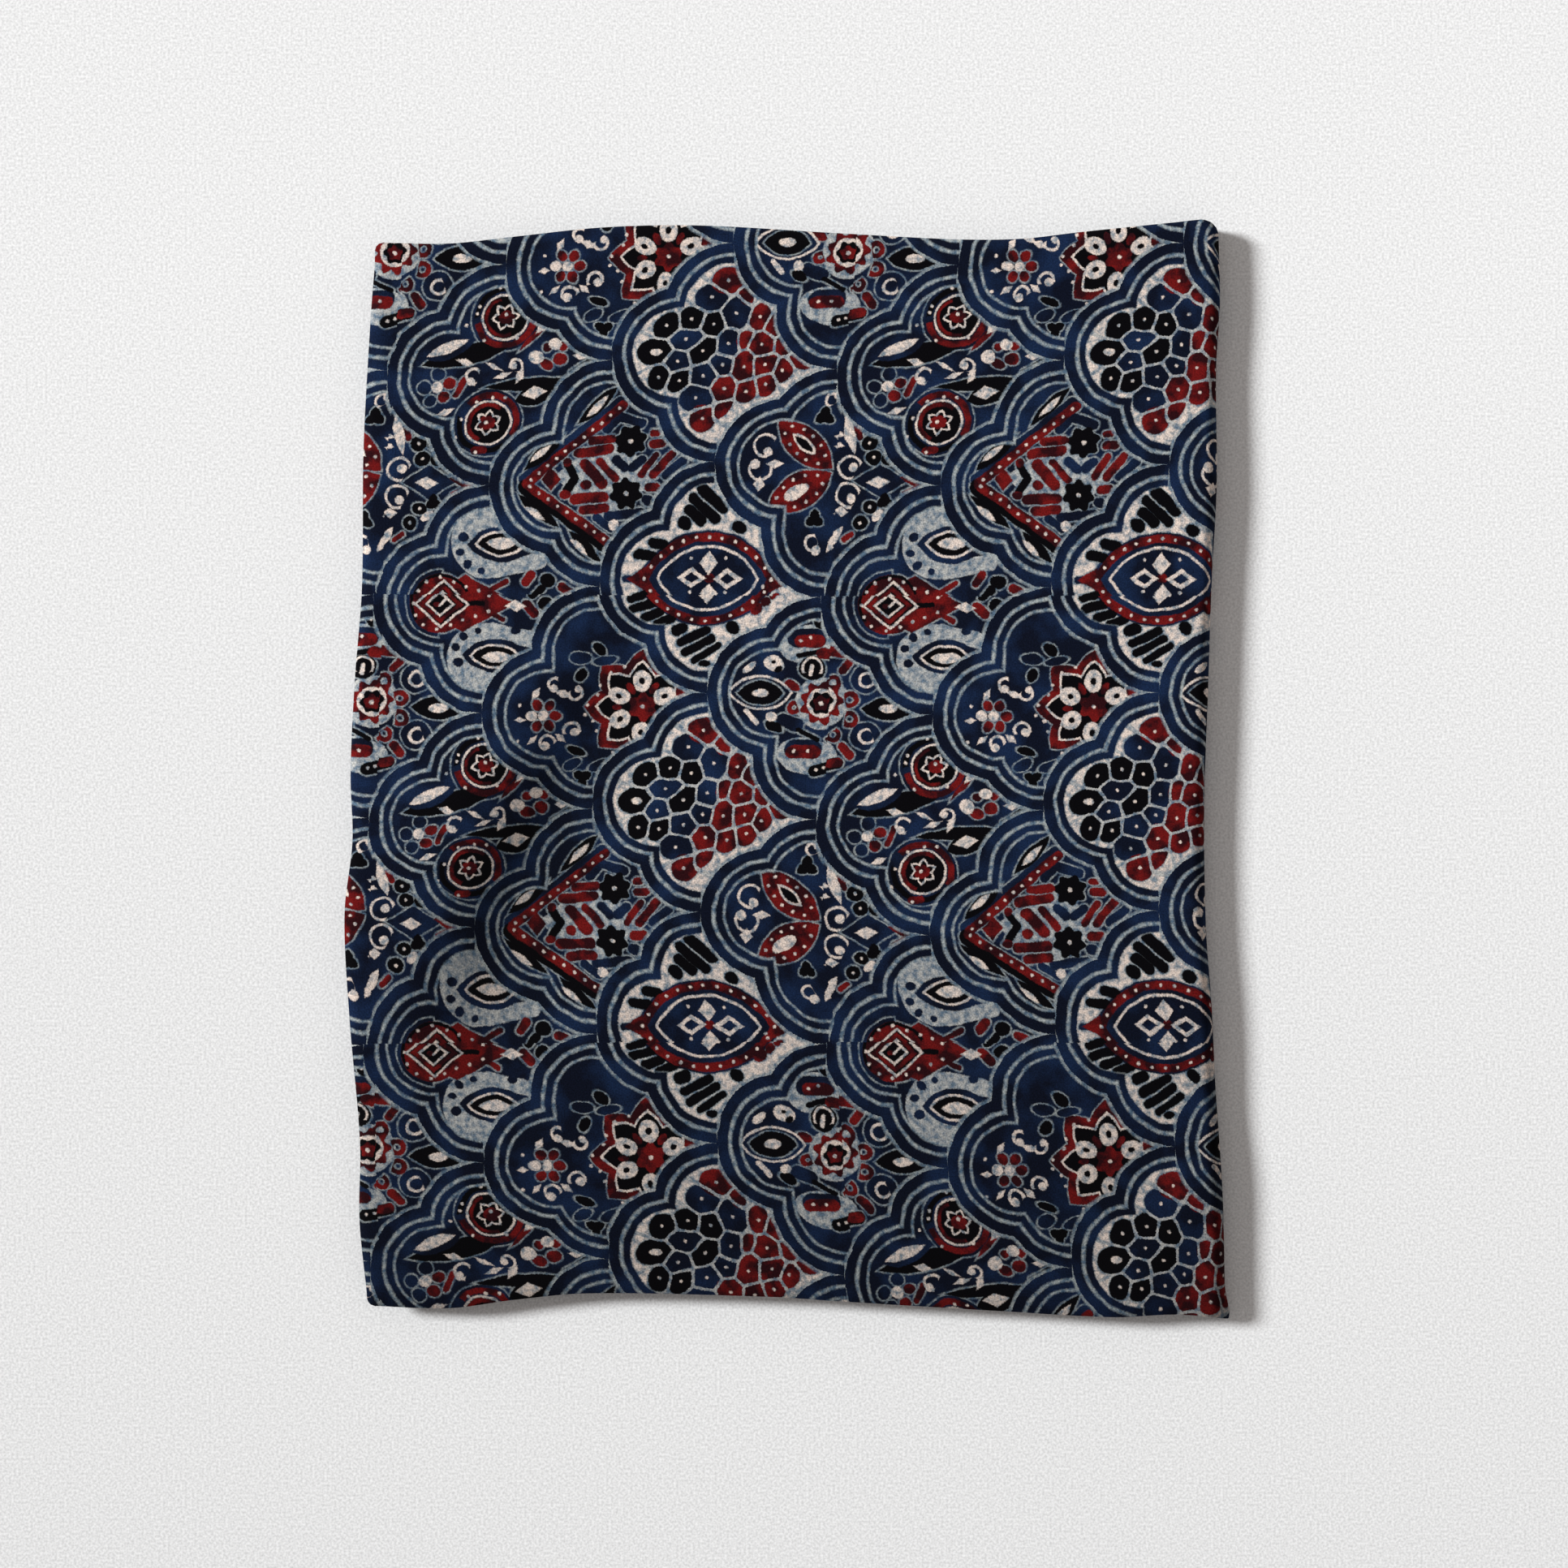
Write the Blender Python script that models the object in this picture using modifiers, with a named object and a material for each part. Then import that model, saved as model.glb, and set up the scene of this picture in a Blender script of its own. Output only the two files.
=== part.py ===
"""A length of printed cotton, folded flat and laid down.

The cloth is one strip. Its section runs back and forth in six layers: the top layer turns down round
the right-hand side to become the bottom one, and the other four lie folded between them. Units are
metres, +Z is up, and the origin is under the middle of the packet. -X is the side with the free edges.
"""

import math
from collections import namedtuple

import bpy

MM = 0.001

# Driving sizes
PACKET_WIDTH = 280 * MM
PACKET_LENGTH = 348 * MM
SHEET = 1.2 * MM
LAYER_GAP = 0.45 * MM
TOP_LEVEL = 5
PITCH = SHEET + LAYER_GAP

# How finely the strip is divided: along a layer, along the packet, and round a fold, by the number of
# levels that it joins
LAYER_STEPS = 10
LENGTH_STEPS = 24
DEGREES_A_STEP = {1: 36, TOP_LEVEL: 18}
SHARP_ANGLE = math.radians(50)

# The look of the cloth seen from a few steps away
DYE = (0.035, 0.055, 0.105, 1.0)
DYE_ROUGHNESS = 0.85

# The wavy outline, going from the left or the bottom: how far in from the packet's half width or half
# length each edge lies, at a distance along it from the middle. All in millimetres.
EdgePoint = namedtuple("EdgePoint", "along inset")
LEFT_EDGE = (
    EdgePoint(-170, 7.0),
    EdgePoint(-146, 4.7),
    EdgePoint(-121, 4.9),
    EdgePoint(-80, 1.6),
    EdgePoint(-46, 0.0),
    EdgePoint(-22, 2.5),
    EdgePoint(0, 1.9),
    EdgePoint(30, 3.2),
    EdgePoint(61, 5.5),
    EdgePoint(106, 6.0),
    EdgePoint(150, 8.3),
    EdgePoint(167, 9.6),
)
RIGHT_EDGE = (
    EdgePoint(-171, 0.0),
    EdgePoint(-136, 0.8),
    EdgePoint(-101, 3.1),
    EdgePoint(-75, 4.4),
    EdgePoint(-50, 6.2),
    EdgePoint(-11, 6.7),
    EdgePoint(27, 5.5),
    EdgePoint(61, 4.4),
    EdgePoint(91, 2.9),
    EdgePoint(128, 3.1),
    EdgePoint(150, 1.9),
    EdgePoint(172, 2.4),
)
BOTTOM_EDGE = (
    EdgePoint(-132, 4.0),
    EdgePoint(-107, 3.2),
    EdgePoint(-87, 5.8),
    EdgePoint(-63, 7.9),
    EdgePoint(-5, 6.8),
    EdgePoint(15, 5.5),
    EdgePoint(64, 2.5),
    EdgePoint(103, 0.4),
    EdgePoint(123, 1.2),
    EdgePoint(140, 0.0),
)
TOP_EDGE = (
    EdgePoint(-130, 7.3),
    EdgePoint(-107, 7.6),
    EdgePoint(-87, 5.5),
    EdgePoint(-58, 2.5),
    EdgePoint(-28, 1.9),
    EdgePoint(15, 4.3),
    EdgePoint(54, 6.3),
    EdgePoint(74, 6.1),
    EdgePoint(93, 4.0),
    EdgePoint(123, 0.9),
    EdgePoint(133, 0.0),
    EdgePoint(138, 1.2),
)

# The layers in their order along the strip, from the free edge on top. Level 0 lies on the table. The
# rest is how far each side lies in from the outline, in millimetres: left and right at the packet's
# bottom and top ends, then the two ends themselves. Two layers that share a fold share its inset.
Layer = namedtuple("Layer", "level left_low left_high right_low right_high bottom top")
LAYERS = (
    Layer(5, 0.0, 0.0, 1.2, 0.0, 0.0, 0.0),
    Layer(0, 0.6, 2.2, 0.0, 0.8, 0.8, 1.8),
    Layer(1, 0.6, 2.2, 4.8, 5.2, 1.6, 1.0),
    Layer(2, 1.6, 1.4, 4.8, 5.2, 1.0, 2.0),
    Layer(3, 1.6, 1.4, 4.4, 4.8, 2.0, 1.2),
    Layer(4, 2.6, 1.0, 4.4, 4.8, 1.2, 0.8),
)

# Soft swells and hollows of the packet, seen from above: centre, reach along and across, the turn of
# its long axis from +X in degrees, and how far it lifts or lowers the top layer. All in millimetres.
Swell = namedtuple("Swell", "x y along across turn rise")
SWELLS = (
    Swell(15, 30, 110, 130, 0, 0.9),
    Swell(-104, -10, 80, 20, 64, 0.7),
    Swell(-74, -20, 62, 19, 64, -1.3),
    Swell(-36, -36, 70, 24, 64, 0.6),
    Swell(58, -66, 70, 26, 30, -0.5),
    Swell(0, -168, 150, 34, 0, -0.4),
)

# A place on the strip's section: the layer it has left, the layer it is on its way to, the share of the
# way from left to right on a flat run, and the side and angle of a fold.
Station = namedtuple("Station", "before after across side angle")
LEFT, FLAT, RIGHT = -1, 0, 1


def mix(first, second, share):
    """The value this share of the way from the first to the second."""
    return first + (second - first) * share


def smooth_through(points, along):
    """The inset at a place along an edge, on a smooth curve through its points."""
    last = len(points) - 1
    along = min(max(along, points[0].along), points[last].along)
    here = max(index for index in range(last) if points[index].along <= along)

    def slope(index):
        low, high = points[max(index - 1, 0)], points[min(index + 1, last)]
        return (high.inset - low.inset) / (high.along - low.along)

    start, end = points[here], points[here + 1]
    span = end.along - start.along
    share = (along - start.along) / span
    level = mix(start.inset, end.inset, share * share * (3 - 2 * share))
    leaving = slope(here) * share * (1 - share) ** 2
    arriving = slope(here + 1) * share**2 * (1 - share)
    return level + span * (leaving - arriving)


def swell_at(x, y):
    """How far the top layer stands above or below its even height at this place."""
    total = 0.0
    for swell in SWELLS:
        turn = math.radians(swell.turn)
        east, north = x / MM - swell.x, y / MM - swell.y
        along = (east * math.cos(turn) + north * math.sin(turn)) / swell.along
        across = (north * math.cos(turn) - east * math.sin(turn)) / swell.across
        total += swell.rise * MM * math.exp(-(along**2) - across**2)
    return total


def joined_layer(index, side):
    """The number of the layer joined to this one by a fold on this side, or None at a free edge."""
    other = index + (1 if (side == RIGHT) == (index % 2 == 0) else -1)
    return other if 0 <= other < len(LAYERS) else None


def fold_radius(first, second):
    """The radius, at the middle of the sheet, of the fold between two layers."""
    return abs(LAYERS[first].level - LAYERS[second].level) * PITCH / 2


def flat_end(index, side, share_up):
    """Where a layer's flat run ends on one side, with room for its fold inside the wavy outline."""
    layer = LAYERS[index]
    other = joined_layer(index, side)
    reach = 0.0 if other is None else fold_radius(index, other) + SHEET / 2
    if side == LEFT:
        edge, own_inset = LEFT_EDGE, mix(layer.left_low, layer.left_high, share_up)
    else:
        edge, own_inset = RIGHT_EDGE, mix(layer.right_low, layer.right_high, share_up)
    along = PACKET_LENGTH / MM * (share_up - 0.5)
    inset = (smooth_through(edge, along) + own_inset) * MM
    return side * (PACKET_WIDTH / 2 - inset - reach)


def strip_stations():
    """The stations along the strip, from its free edge on top to the one that lies hidden."""
    stations = []
    for index in range(len(LAYERS)):
        side = RIGHT if index % 2 == 0 else LEFT
        for step in range(LAYER_STEPS + 1):
            share = step / LAYER_STEPS
            across = share if side == RIGHT else 1 - share
            stations.append(Station(index, index, across, FLAT, 0.0))
        after = joined_layer(index, side)
        if after is not None:
            levels = abs(LAYERS[index].level - LAYERS[after].level)
            steps = 180 // DEGREES_A_STEP[levels]
            for step in range(1, steps):
                stations.append(Station(index, after, None, side, math.pi * step / steps))
    return stations


def place(station, share_up):
    """Where the middle of the sheet lies at a station, this share of the way up the packet."""
    before, after = LAYERS[station.before], LAYERS[station.after]
    turned = (1 - math.cos(station.angle)) / 2
    if station.side == FLAT:
        left = flat_end(station.before, LEFT, share_up)
        right = flat_end(station.before, RIGHT, share_up)
        x = mix(left, right, station.across)
    else:
        leaving = flat_end(station.before, station.side, share_up)
        arriving = flat_end(station.after, station.side, share_up)
        bulge = fold_radius(station.before, station.after) * math.sin(station.angle)
        x = mix(leaving, arriving, turned) + station.side * bulge
    inset_low = smooth_through(BOTTOM_EDGE, x / MM) + mix(before.bottom, after.bottom, turned)
    inset_high = smooth_through(TOP_EDGE, x / MM) + mix(before.top, after.top, turned)
    low, high = inset_low * MM - PACKET_LENGTH / 2, PACKET_LENGTH / 2 - inset_high * MM
    y = mix(low, high, share_up)
    level = mix(before.level, after.level, turned)
    z = SHEET / 2 + level * (PITCH + swell_at(x, y) / TOP_LEVEL)
    return x, y, z


def clear_scene():
    """Remove whatever the scene holds."""
    for old in list(bpy.data.objects):
        bpy.data.objects.remove(old, do_unlink=True)


def part_collection(name):
    """A new collection of the scene for the part."""
    collection = bpy.data.collections.new(name)
    bpy.context.scene.collection.children.link(collection)
    return collection


def cloth_material():
    """A matt, dark indigo, the mean of the printed cloth."""
    material = bpy.data.materials.new("printed_cloth")
    material.use_nodes = True
    shader = material.node_tree.nodes["Principled BSDF"]
    shader.inputs["Base Color"].default_value = DYE
    shader.inputs["Roughness"].default_value = DYE_ROUGHNESS
    shader.inputs["Metallic"].default_value = 0.0
    return material


def folded_cloth(collection):
    """The cloth: a flat grid laid along the folded section, then given its thickness."""
    stations = strip_stations()
    steps_across = len(stations) - 1
    bpy.ops.mesh.primitive_grid_add(
        x_subdivisions=steps_across, y_subdivisions=LENGTH_STEPS, size=1
    )
    cloth = bpy.context.object
    cloth.name = cloth.data.name = "folded_cloth"
    for old in cloth.users_collection:
        old.objects.unlink(cloth)
    collection.objects.link(cloth)
    for vertex in cloth.data.vertices:
        station = stations[round((vertex.co.x + 0.5) * steps_across)]
        vertex.co = place(station, vertex.co.y + 0.5)
    thickness = cloth.modifiers.new("Thickness", "SOLIDIFY")
    thickness.thickness = SHEET
    thickness.offset = 0.0
    thickness.use_even_offset = True
    cloth.data.shade_smooth()
    cloth.data.set_sharp_from_angle(angle=SHARP_ANGLE)
    cloth.data.materials.append(cloth_material())
    return cloth


clear_scene()
folded_cloth(part_collection("folded_ajrakh_cloth"))
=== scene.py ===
"""A length of block-printed cotton, folded flat: its thin sheet and print, light and camera.

The sheet follows the folds of its solid. Sizes are metres in the scene. The print is drawn in
millimetres, on the flat cloth: it repeats eight scalloped medallions, which overlap like scales.
"""

import functools
import logging
import math
from collections.abc import Callable
from dataclasses import dataclass, field, replace
from enum import Enum, IntEnum
from typing import Union

import bpy
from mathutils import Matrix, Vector, noise

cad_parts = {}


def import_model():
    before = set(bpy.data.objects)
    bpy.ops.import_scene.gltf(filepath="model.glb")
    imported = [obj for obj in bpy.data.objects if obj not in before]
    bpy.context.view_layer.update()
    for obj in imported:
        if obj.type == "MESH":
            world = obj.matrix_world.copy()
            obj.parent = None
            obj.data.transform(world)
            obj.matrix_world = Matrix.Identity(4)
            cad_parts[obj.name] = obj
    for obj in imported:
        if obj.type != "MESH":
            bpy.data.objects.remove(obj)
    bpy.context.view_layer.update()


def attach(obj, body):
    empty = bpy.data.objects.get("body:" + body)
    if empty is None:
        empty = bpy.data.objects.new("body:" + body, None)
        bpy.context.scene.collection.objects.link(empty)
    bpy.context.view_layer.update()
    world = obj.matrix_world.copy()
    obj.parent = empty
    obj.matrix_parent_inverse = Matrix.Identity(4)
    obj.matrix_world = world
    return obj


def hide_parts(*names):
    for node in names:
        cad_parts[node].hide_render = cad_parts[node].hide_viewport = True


LOG = logging.getLogger("folded_cloth")
MM = 0.001

Value = Union[float, "Wire"]
Colour = Union[tuple, "Wire"]


def mix(first: float, second: float, share: float) -> float:
    """The value this share of the way from the first to the second."""
    return first + (second - first) * share


def eased(share: float) -> float:
    """A share that leaves 0 and reaches 1 slowly."""
    return share * share * (3 - 2 * share)


def rotated(right: float, up: float, degrees: float) -> tuple[float, float]:
    """The two numbers of a place in a frame that is turned by some degrees."""
    cosine, sine = math.cos(math.radians(degrees)), math.sin(math.radians(degrees))
    return right * cosine + up * sine, up * cosine - right * sine


def linear(level: int) -> float:
    """One number of a linear colour, from its level as the eye sees it."""
    share = level / 255
    return share / 12.92 if share <= 0.04045 else ((share + 0.055) / 1.055) ** 2.4


def paint(red: int, green: int, blue: int) -> tuple[float, float, float, float]:
    """The scene's linear colour for one as the eye names it, from 0 to 255."""
    return (linear(red), linear(green), linear(blue), 1.0)


@dataclass(frozen=True)
class EdgePoint:
    """A point of the packet's wavy outline, in millimetres: its place along an edge, from the
    middle, and how far in from the packet's half width or half length it lies."""

    along: float
    inset: float


def edge(*pairs: tuple[float, float]) -> tuple[EdgePoint, ...]:
    """The points of one edge, each a place along it and an inset."""
    return tuple(EdgePoint(*pair) for pair in pairs)


@dataclass(frozen=True)
class Layer:
    """One layer of the packet: its level above the table, and how far each side and end lies in
    from the outline, in millimetres."""

    level: int
    left_low: float
    left_high: float
    right_low: float
    right_high: float
    bottom: float
    top: float


@dataclass(frozen=True)
class Swell:
    """A soft swell or hollow of the top layer, in millimetres: centre, reach along and across, the
    turn of its long axis from the right in degrees, and how far it lifts or lowers the cloth."""

    x: float
    y: float
    along: float
    across: float
    turn: float
    rise: float

    def at(self, x: float, y: float) -> float:
        """The height that this swell adds at a place, in metres.

        Args:
            x: the place to the right of the packet's middle, in metres.
            y: the place up the packet from its middle, in metres.

        Returns:
            The lift of the top layer there, negative in a hollow.
        """
        along, across = rotated(x / MM - self.x, y / MM - self.y, self.turn)
        off = (along / self.along) ** 2 + (across / self.across) ** 2
        return self.rise * MM * math.exp(-off)


@dataclass(frozen=True)
class Ripple:
    """Small random unevenness of the top layer: how many ripples come to a metre, the level of the
    random field that they are taken from, and their height in millimetres."""

    per_metre: float
    level: float
    rise: float

    def at(self, x: float, y: float) -> float:
        """The height that the ripples add at a place, in metres."""
        spot = Vector((x * self.per_metre, y * self.per_metre, self.level))
        return noise.noise(spot) * self.rise * MM


@dataclass(frozen=True)
class Drift:
    """How far the print has moved at a height on the packet, in millimetres: to the right
    and up, at the packet's left side, middle and right side."""

    y: float
    left: float
    middle: float
    right: float
    left_up: float
    middle_up: float
    right_up: float

    def at(self, aside: float) -> tuple[float, float]:
        """The move to the right and up at a place from -1 at the left side to 1 at the right."""
        right, up = (self.left, self.left_up) if aside < 0 else (self.right, self.right_up)
        return mix(self.middle, right, abs(aside)), mix(self.middle_up, up, abs(aside))


class Side(IntEnum):
    """The sides of the folded section, and the flat runs between them."""

    LEFT = -1
    FLAT = 0
    RIGHT = 1


LEFT, FLAT, RIGHT = Side


@dataclass(frozen=True)
class Station:
    """A place on the strip's section: the layer it has left, the layer it is on its way to, the
    share from left to right on a flat run, and the side and angle of a fold."""

    before: int
    after: int
    across: float
    side: Side
    angle: float

    @property
    def turned(self) -> float:
        """The share of the way from one layer to the other."""
        return (1 - math.cos(self.angle)) / 2

    @property
    def on_top(self) -> bool:
        """Whether it lies on the top layer or in its round fold."""
        return self.before == 0


@dataclass
class FoldedSheet:
    """The cloth: one thin sheet, laid back and forth in six layers.

    It is divided into more steps at its edges and under its long crease. The corners are rounded,
    the edges of the top layer droop, and the lower half of the round fold stands out in a small ear
    at the bottom. The bands and rims say how the faces share the height of the flat map, and the
    drifts how the print has moved, from the top of the packet to its bottom."""

    width: float = 280 * MM
    length: float = 348 * MM
    thickness: float = 0.9 * MM
    pitch: float = 1.71 * MM
    top_level: int = 5
    top_steps: int = 124
    layer_steps: int = 22
    length_steps: int = 150
    close_steps: tuple = (0.0, 0.0012, 0.0035, 0.007, 0.011)
    fold_steps: dict = field(default_factory=lambda: {1: 8, 5: 22})
    crease_span: tuple = (0.1, 0.38)
    crease_steps: tuple = (0.12, 0.7)
    sharp_angle: float = 50.0
    corner: float = 2.6 * MM
    droop: float = 1.1 * MM
    droop_reach: float = 3.2 * MM
    ear: float = 2.0 * MM
    ear_height: float = 5.5 * MM
    ear_growth: float = 1.4
    ear_drop: float = 1 / 3
    map_margin: float = 0.005
    top_band: tuple = (0.005, 0.79)
    hidden_band: tuple = (0.8, 0.85)
    under_band: tuple = (0.86, 0.91)
    bottom_rim: tuple = (0.92, 0.935)
    top_rim: tuple = (0.94, 0.955)
    first_rim: tuple = (0.96, 0.975)
    last_rim: tuple = (0.98, 0.995)
    cut_width: float = field(default=0.0, init=False)
    left_edge: tuple = edge(
        (-170, 7.0), (-146, 4.7), (-121, 4.9), (-80, 1.6), (-46, 0.0), (-22, 2.5),
        (0, 1.9), (30, 3.2), (61, 5.5), (106, 6.0), (150, 8.3), (167, 9.6),
    )
    right_edge: tuple = edge(
        (-171, 0.0), (-136, 0.8), (-101, 3.1), (-75, 4.4), (-50, 6.2), (-11, 6.7),
        (27, 5.5), (61, 4.4), (91, 2.9), (128, 3.1), (150, 1.9), (172, 2.4),
    )
    bottom_edge: tuple = edge(
        (-132, 4.0), (-107, 3.2), (-87, 5.8), (-63, 7.9), (-5, 6.8),
        (15, 5.5), (64, 2.5), (103, 0.4), (123, 1.2), (140, 0.0),
    )
    top_edge: tuple = edge(
        (-130, 7.3), (-107, 7.6), (-87, 5.5), (-58, 2.5), (-28, 1.9), (15, 4.3),
        (54, 6.3), (74, 6.1), (93, 4.0), (123, 0.9), (133, 0.0), (138, 1.2),
    )
    layers: tuple = (
        Layer(5, 0.0, 0.0, 1.2, 0.0, 0.0, 0.0),
        Layer(0, 0.6, 2.2, 0.0, 0.8, 0.8, 1.8),
        Layer(1, 0.6, 2.2, 4.8, 5.2, 1.6, 1.0),
        Layer(2, 1.6, 1.4, 4.8, 5.2, 1.0, 2.0),
        Layer(3, 1.6, 1.4, 4.4, 4.8, 2.0, 1.2),
        Layer(4, 2.6, 1.0, 4.4, 4.8, 1.2, 0.8),
    )
    swells: tuple = (
        Swell(15, 30, 110, 130, 0, 0.9),
        Swell(-104, -10, 80, 20, 64, 0.7),
        Swell(-74, -20, 62, 19, 64, -1.3),
        Swell(-36, -36, 70, 24, 64, 0.6),
        Swell(58, -66, 70, 26, 30, -0.5),
        Swell(0, -168, 150, 34, 0, -0.4),
    )
    creases: tuple = (
        Swell(-80, -22, 44, 5.5, 68, -0.9),
        Swell(-66, -28, 44, 6.0, 68, 0.7),
        Swell(-124.5, 150, 20, 2.0, 93, -0.4),
        Swell(-120, 152, 22, 2.4, 93, 0.25),
        Swell(104, -138, 46, 11, 48, -0.7),
        Swell(122, -146, 40, 8, 58, 0.5),
        Swell(-31, -157, 30, 10, 12, -0.6),
        Swell(-100, -160, 26, 10, 24, -0.6),
        Swell(96, 150, 34, 8, -38, -0.4),
    )
    ripples: tuple = (Ripple(26, 3.7, 0.22), Ripple(80, 9.1, 0.06))
    drifts: tuple = (
        Drift(182, 4.6, 5.4, 4.6, 0.0, 0.0, 0.0),
        Drift(166, 3.6, 4.6, 3.9, 0.0, 0.0, 0.0),
        Drift(128, 1.6, 1.0, 2.0, 0.5, 0.8, 0.5),
        Drift(89, -2.0, -2.2, -1.4, 1.3, 2.0, 0.8),
        Drift(53, -2.3, -3.6, -2.6, 0.8, 0.0, 0.0),
        Drift(20, -3.6, -4.1, -3.9, 0.8, 0.3, 0.4),
        Drift(-13, -4.1, -5.6, -4.6, 1.8, 1.3, 0.8),
        Drift(-50, -7.2, -6.2, -3.9, 5.4, 1.6, 3.0),
        Drift(-88, -5.6, -2.1, -0.5, 1.2, 1.6, 1.3),
        Drift(-124, -5.1, 0.2, 1.5, 1.8, 0.0, -0.8),
        Drift(-157, -4.1, 3.3, 4.4, 4.1, 0.0, -1.8),
        Drift(-182, -3.6, 4.6, 5.4, 4.1, 0.0, -1.8),
    )

    def smooth_through(self, points: tuple, along: float) -> float:
        """The inset at a place along an edge, on a smooth curve through its points.

        Args:
            points: the edge's points, in order.
            along: the place along the edge, in millimetres.

        Returns:
            The inset there, in millimetres.
        """
        last = len(points) - 1
        along = min(max(along, points[0].along), points[last].along)
        here = max(index for index in range(last) if points[index].along <= along)

        def slope(index: int) -> float:
            low, high = points[max(index - 1, 0)], points[min(index + 1, last)]
            return (high.inset - low.inset) / (high.along - low.along)

        start, end = points[here], points[here + 1]
        span = end.along - start.along
        share = (along - start.along) / span
        leaving = slope(here) * share * (1 - share) ** 2
        arriving = slope(here + 1) * share**2 * (1 - share)
        return mix(start.inset, end.inset, eased(share)) + span * (leaving - arriving)

    def joined_layer(self, index: int, side: Side) -> int | None:
        """The number of the layer that a fold on this side joins to this one, if any."""
        other = index + (1 if (side == RIGHT) == (index % 2 == 0) else -1)
        return other if 0 <= other < len(self.layers) else None

    def levels_between(self, first: int, second: int) -> int:
        """How many levels apart two layers lie."""
        return abs(self.layers[first].level - self.layers[second].level)

    def fold_radius(self, first: int, second: int) -> float:
        """The radius, at the middle of the sheet, of the fold between two layers."""
        return self.levels_between(first, second) * self.pitch / 2

    def flat_end(self, index: int, side: Side, share_up: float) -> float:
        """Where a layer's flat run ends on one side.

        Args:
            index: the layer's number along the strip.
            side: LEFT or RIGHT.
            share_up: the share of the way up the packet.

        Returns:
            Its x, with room left for the layer's fold inside the wavy outline.
        """
        layer = self.layers[index]
        other = self.joined_layer(index, side)
        reach = 0.0 if other is None else self.fold_radius(index, other) + self.thickness / 2
        if side == LEFT:
            points, own_inset = self.left_edge, mix(layer.left_low, layer.left_high, share_up)
        else:
            points, own_inset = self.right_edge, mix(layer.right_low, layer.right_high, share_up)
        along = self.length / MM * (share_up - 0.5)
        inset = (self.smooth_through(points, along) + own_inset) * MM + self.rounding(share_up)
        return side * (self.width / 2 - inset - reach)

    def rounding(self, share_up: float) -> float:
        """How far the rounded corners draw the sides in, this share of the way up the packet."""
        short = max(self.corner - min(share_up, 1 - share_up) * self.length, 0.0)
        return self.corner - math.sqrt(self.corner**2 - short**2)

    def shares(self, steps: int, both_ends: bool) -> list[float]:
        """Shares from 0 to 1, which lie closer together towards the edges.

        Args:
            steps: how many even steps lie between the closer ones.
            both_ends: whether they lie closer at the end too, and not only at the start.

        Returns:
            The shares, in order.
        """
        close = self.close_steps
        last = 1 - close[-1] if both_ends else 1.0
        even = [mix(close[-1], last, step / steps) for step in range(steps + 1)]
        return [*close[:-1], *even, *(1 - share for share in close[-2::-1] if both_ends)]

    def crowded(self, share: float) -> float:
        """The place across a hidden layer of one of its steps, many of which lie under the crease.

        Args:
            share: the share of the steps that come before it.

        Returns:
            The share of the way from left to right.
        """
        low, high = self.crease_span
        first, last = self.crease_steps
        if share < first:
            return low * share / first
        if share < last:
            return mix(low, high, (share - first) / (last - first))
        return mix(high, 1.0, (share - last) / (1 - last))

    def ear_at(self, station: Station, share_up: float) -> float:
        """How far the lower half of the round fold stands out at the packet's bottom corner.

        Args:
            station: the place on the strip's section.
            share_up: the share of the way up the packet.

        Returns:
            The distance to the right, in metres, which is 0 for the other folds.
        """
        if not station.on_top or share_up > 0.5:
            return 0.0
        height = share_up * self.length / self.ear_height
        out = self.rounding(share_up) + self.ear * math.exp(-(height**2))
        return out * math.sin(station.angle) * min(self.ear_growth * station.turned, 1.0)

    def stations(self) -> list[Station]:
        """The stations along the strip.

        Returns:
            They are in order from the free edge on top to the one that lies hidden.
        """
        found = []
        for index in range(len(self.layers)):
            side = RIGHT if index % 2 == 0 else LEFT
            shares = self.shares(self.top_steps, False)
            if index > 0:
                steps = self.layer_steps
                shares = [self.crowded(step / steps) for step in range(steps + 1)]
            for across in shares if side == RIGHT else shares[::-1]:
                found.append(Station(index, index, across, FLAT, 0.0))
            after = self.joined_layer(index, side)
            if after is not None:
                steps = self.fold_steps[self.levels_between(index, after)]
                for step in range(1, steps):
                    found.append(Station(index, after, 0.0, side, math.pi * step / steps))
        return found

    def relief(self, x: float, y: float) -> float:
        """How far the top layer stands above or below its even height at a place."""
        return sum(form.at(x, y) for form in self.swells + self.creases + self.ripples)

    def middle_at(self, station: Station, share_up: float) -> Vector:
        """Where the middle of the sheet lies.

        Args:
            station: the place on the strip's section.
            share_up: the share of the way up the packet.

        Returns:
            The point, in metres.
        """
        before, after = self.layers[station.before], self.layers[station.after]
        turned = station.turned
        ear = self.ear_at(station, share_up)
        left = self.flat_end(station.before, LEFT, share_up)
        if station.side == FLAT:
            right = self.flat_end(station.before, RIGHT, share_up)
            x = mix(left, right, station.across)
        else:
            leaving = self.flat_end(station.before, station.side, share_up)
            arriving = self.flat_end(station.after, station.side, share_up)
            bulge = self.fold_radius(station.before, station.after) * math.sin(station.angle)
            x = mix(leaving, arriving, turned) + station.side * bulge + ear
        low_inset = self.smooth_through(self.bottom_edge, x / MM)
        high_inset = self.smooth_through(self.top_edge, x / MM)
        low = (low_inset + mix(before.bottom, after.bottom, turned)) * MM - self.length / 2
        high = self.length / 2 - (high_inset + mix(before.top, after.top, turned)) * MM
        y = mix(low - ear * self.ear_drop, high, share_up)
        level = mix(before.level, after.level, turned)
        z = self.thickness / 2 + level * (self.pitch + self.relief(x, y) / self.top_level)
        if station.on_top:
            near = max(1 - min(y - low, high - y, x - left) / self.droop_reach, 0.0)
            z -= self.droop * near**2 * (1 - turned)
        return Vector((x, y, z))

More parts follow.
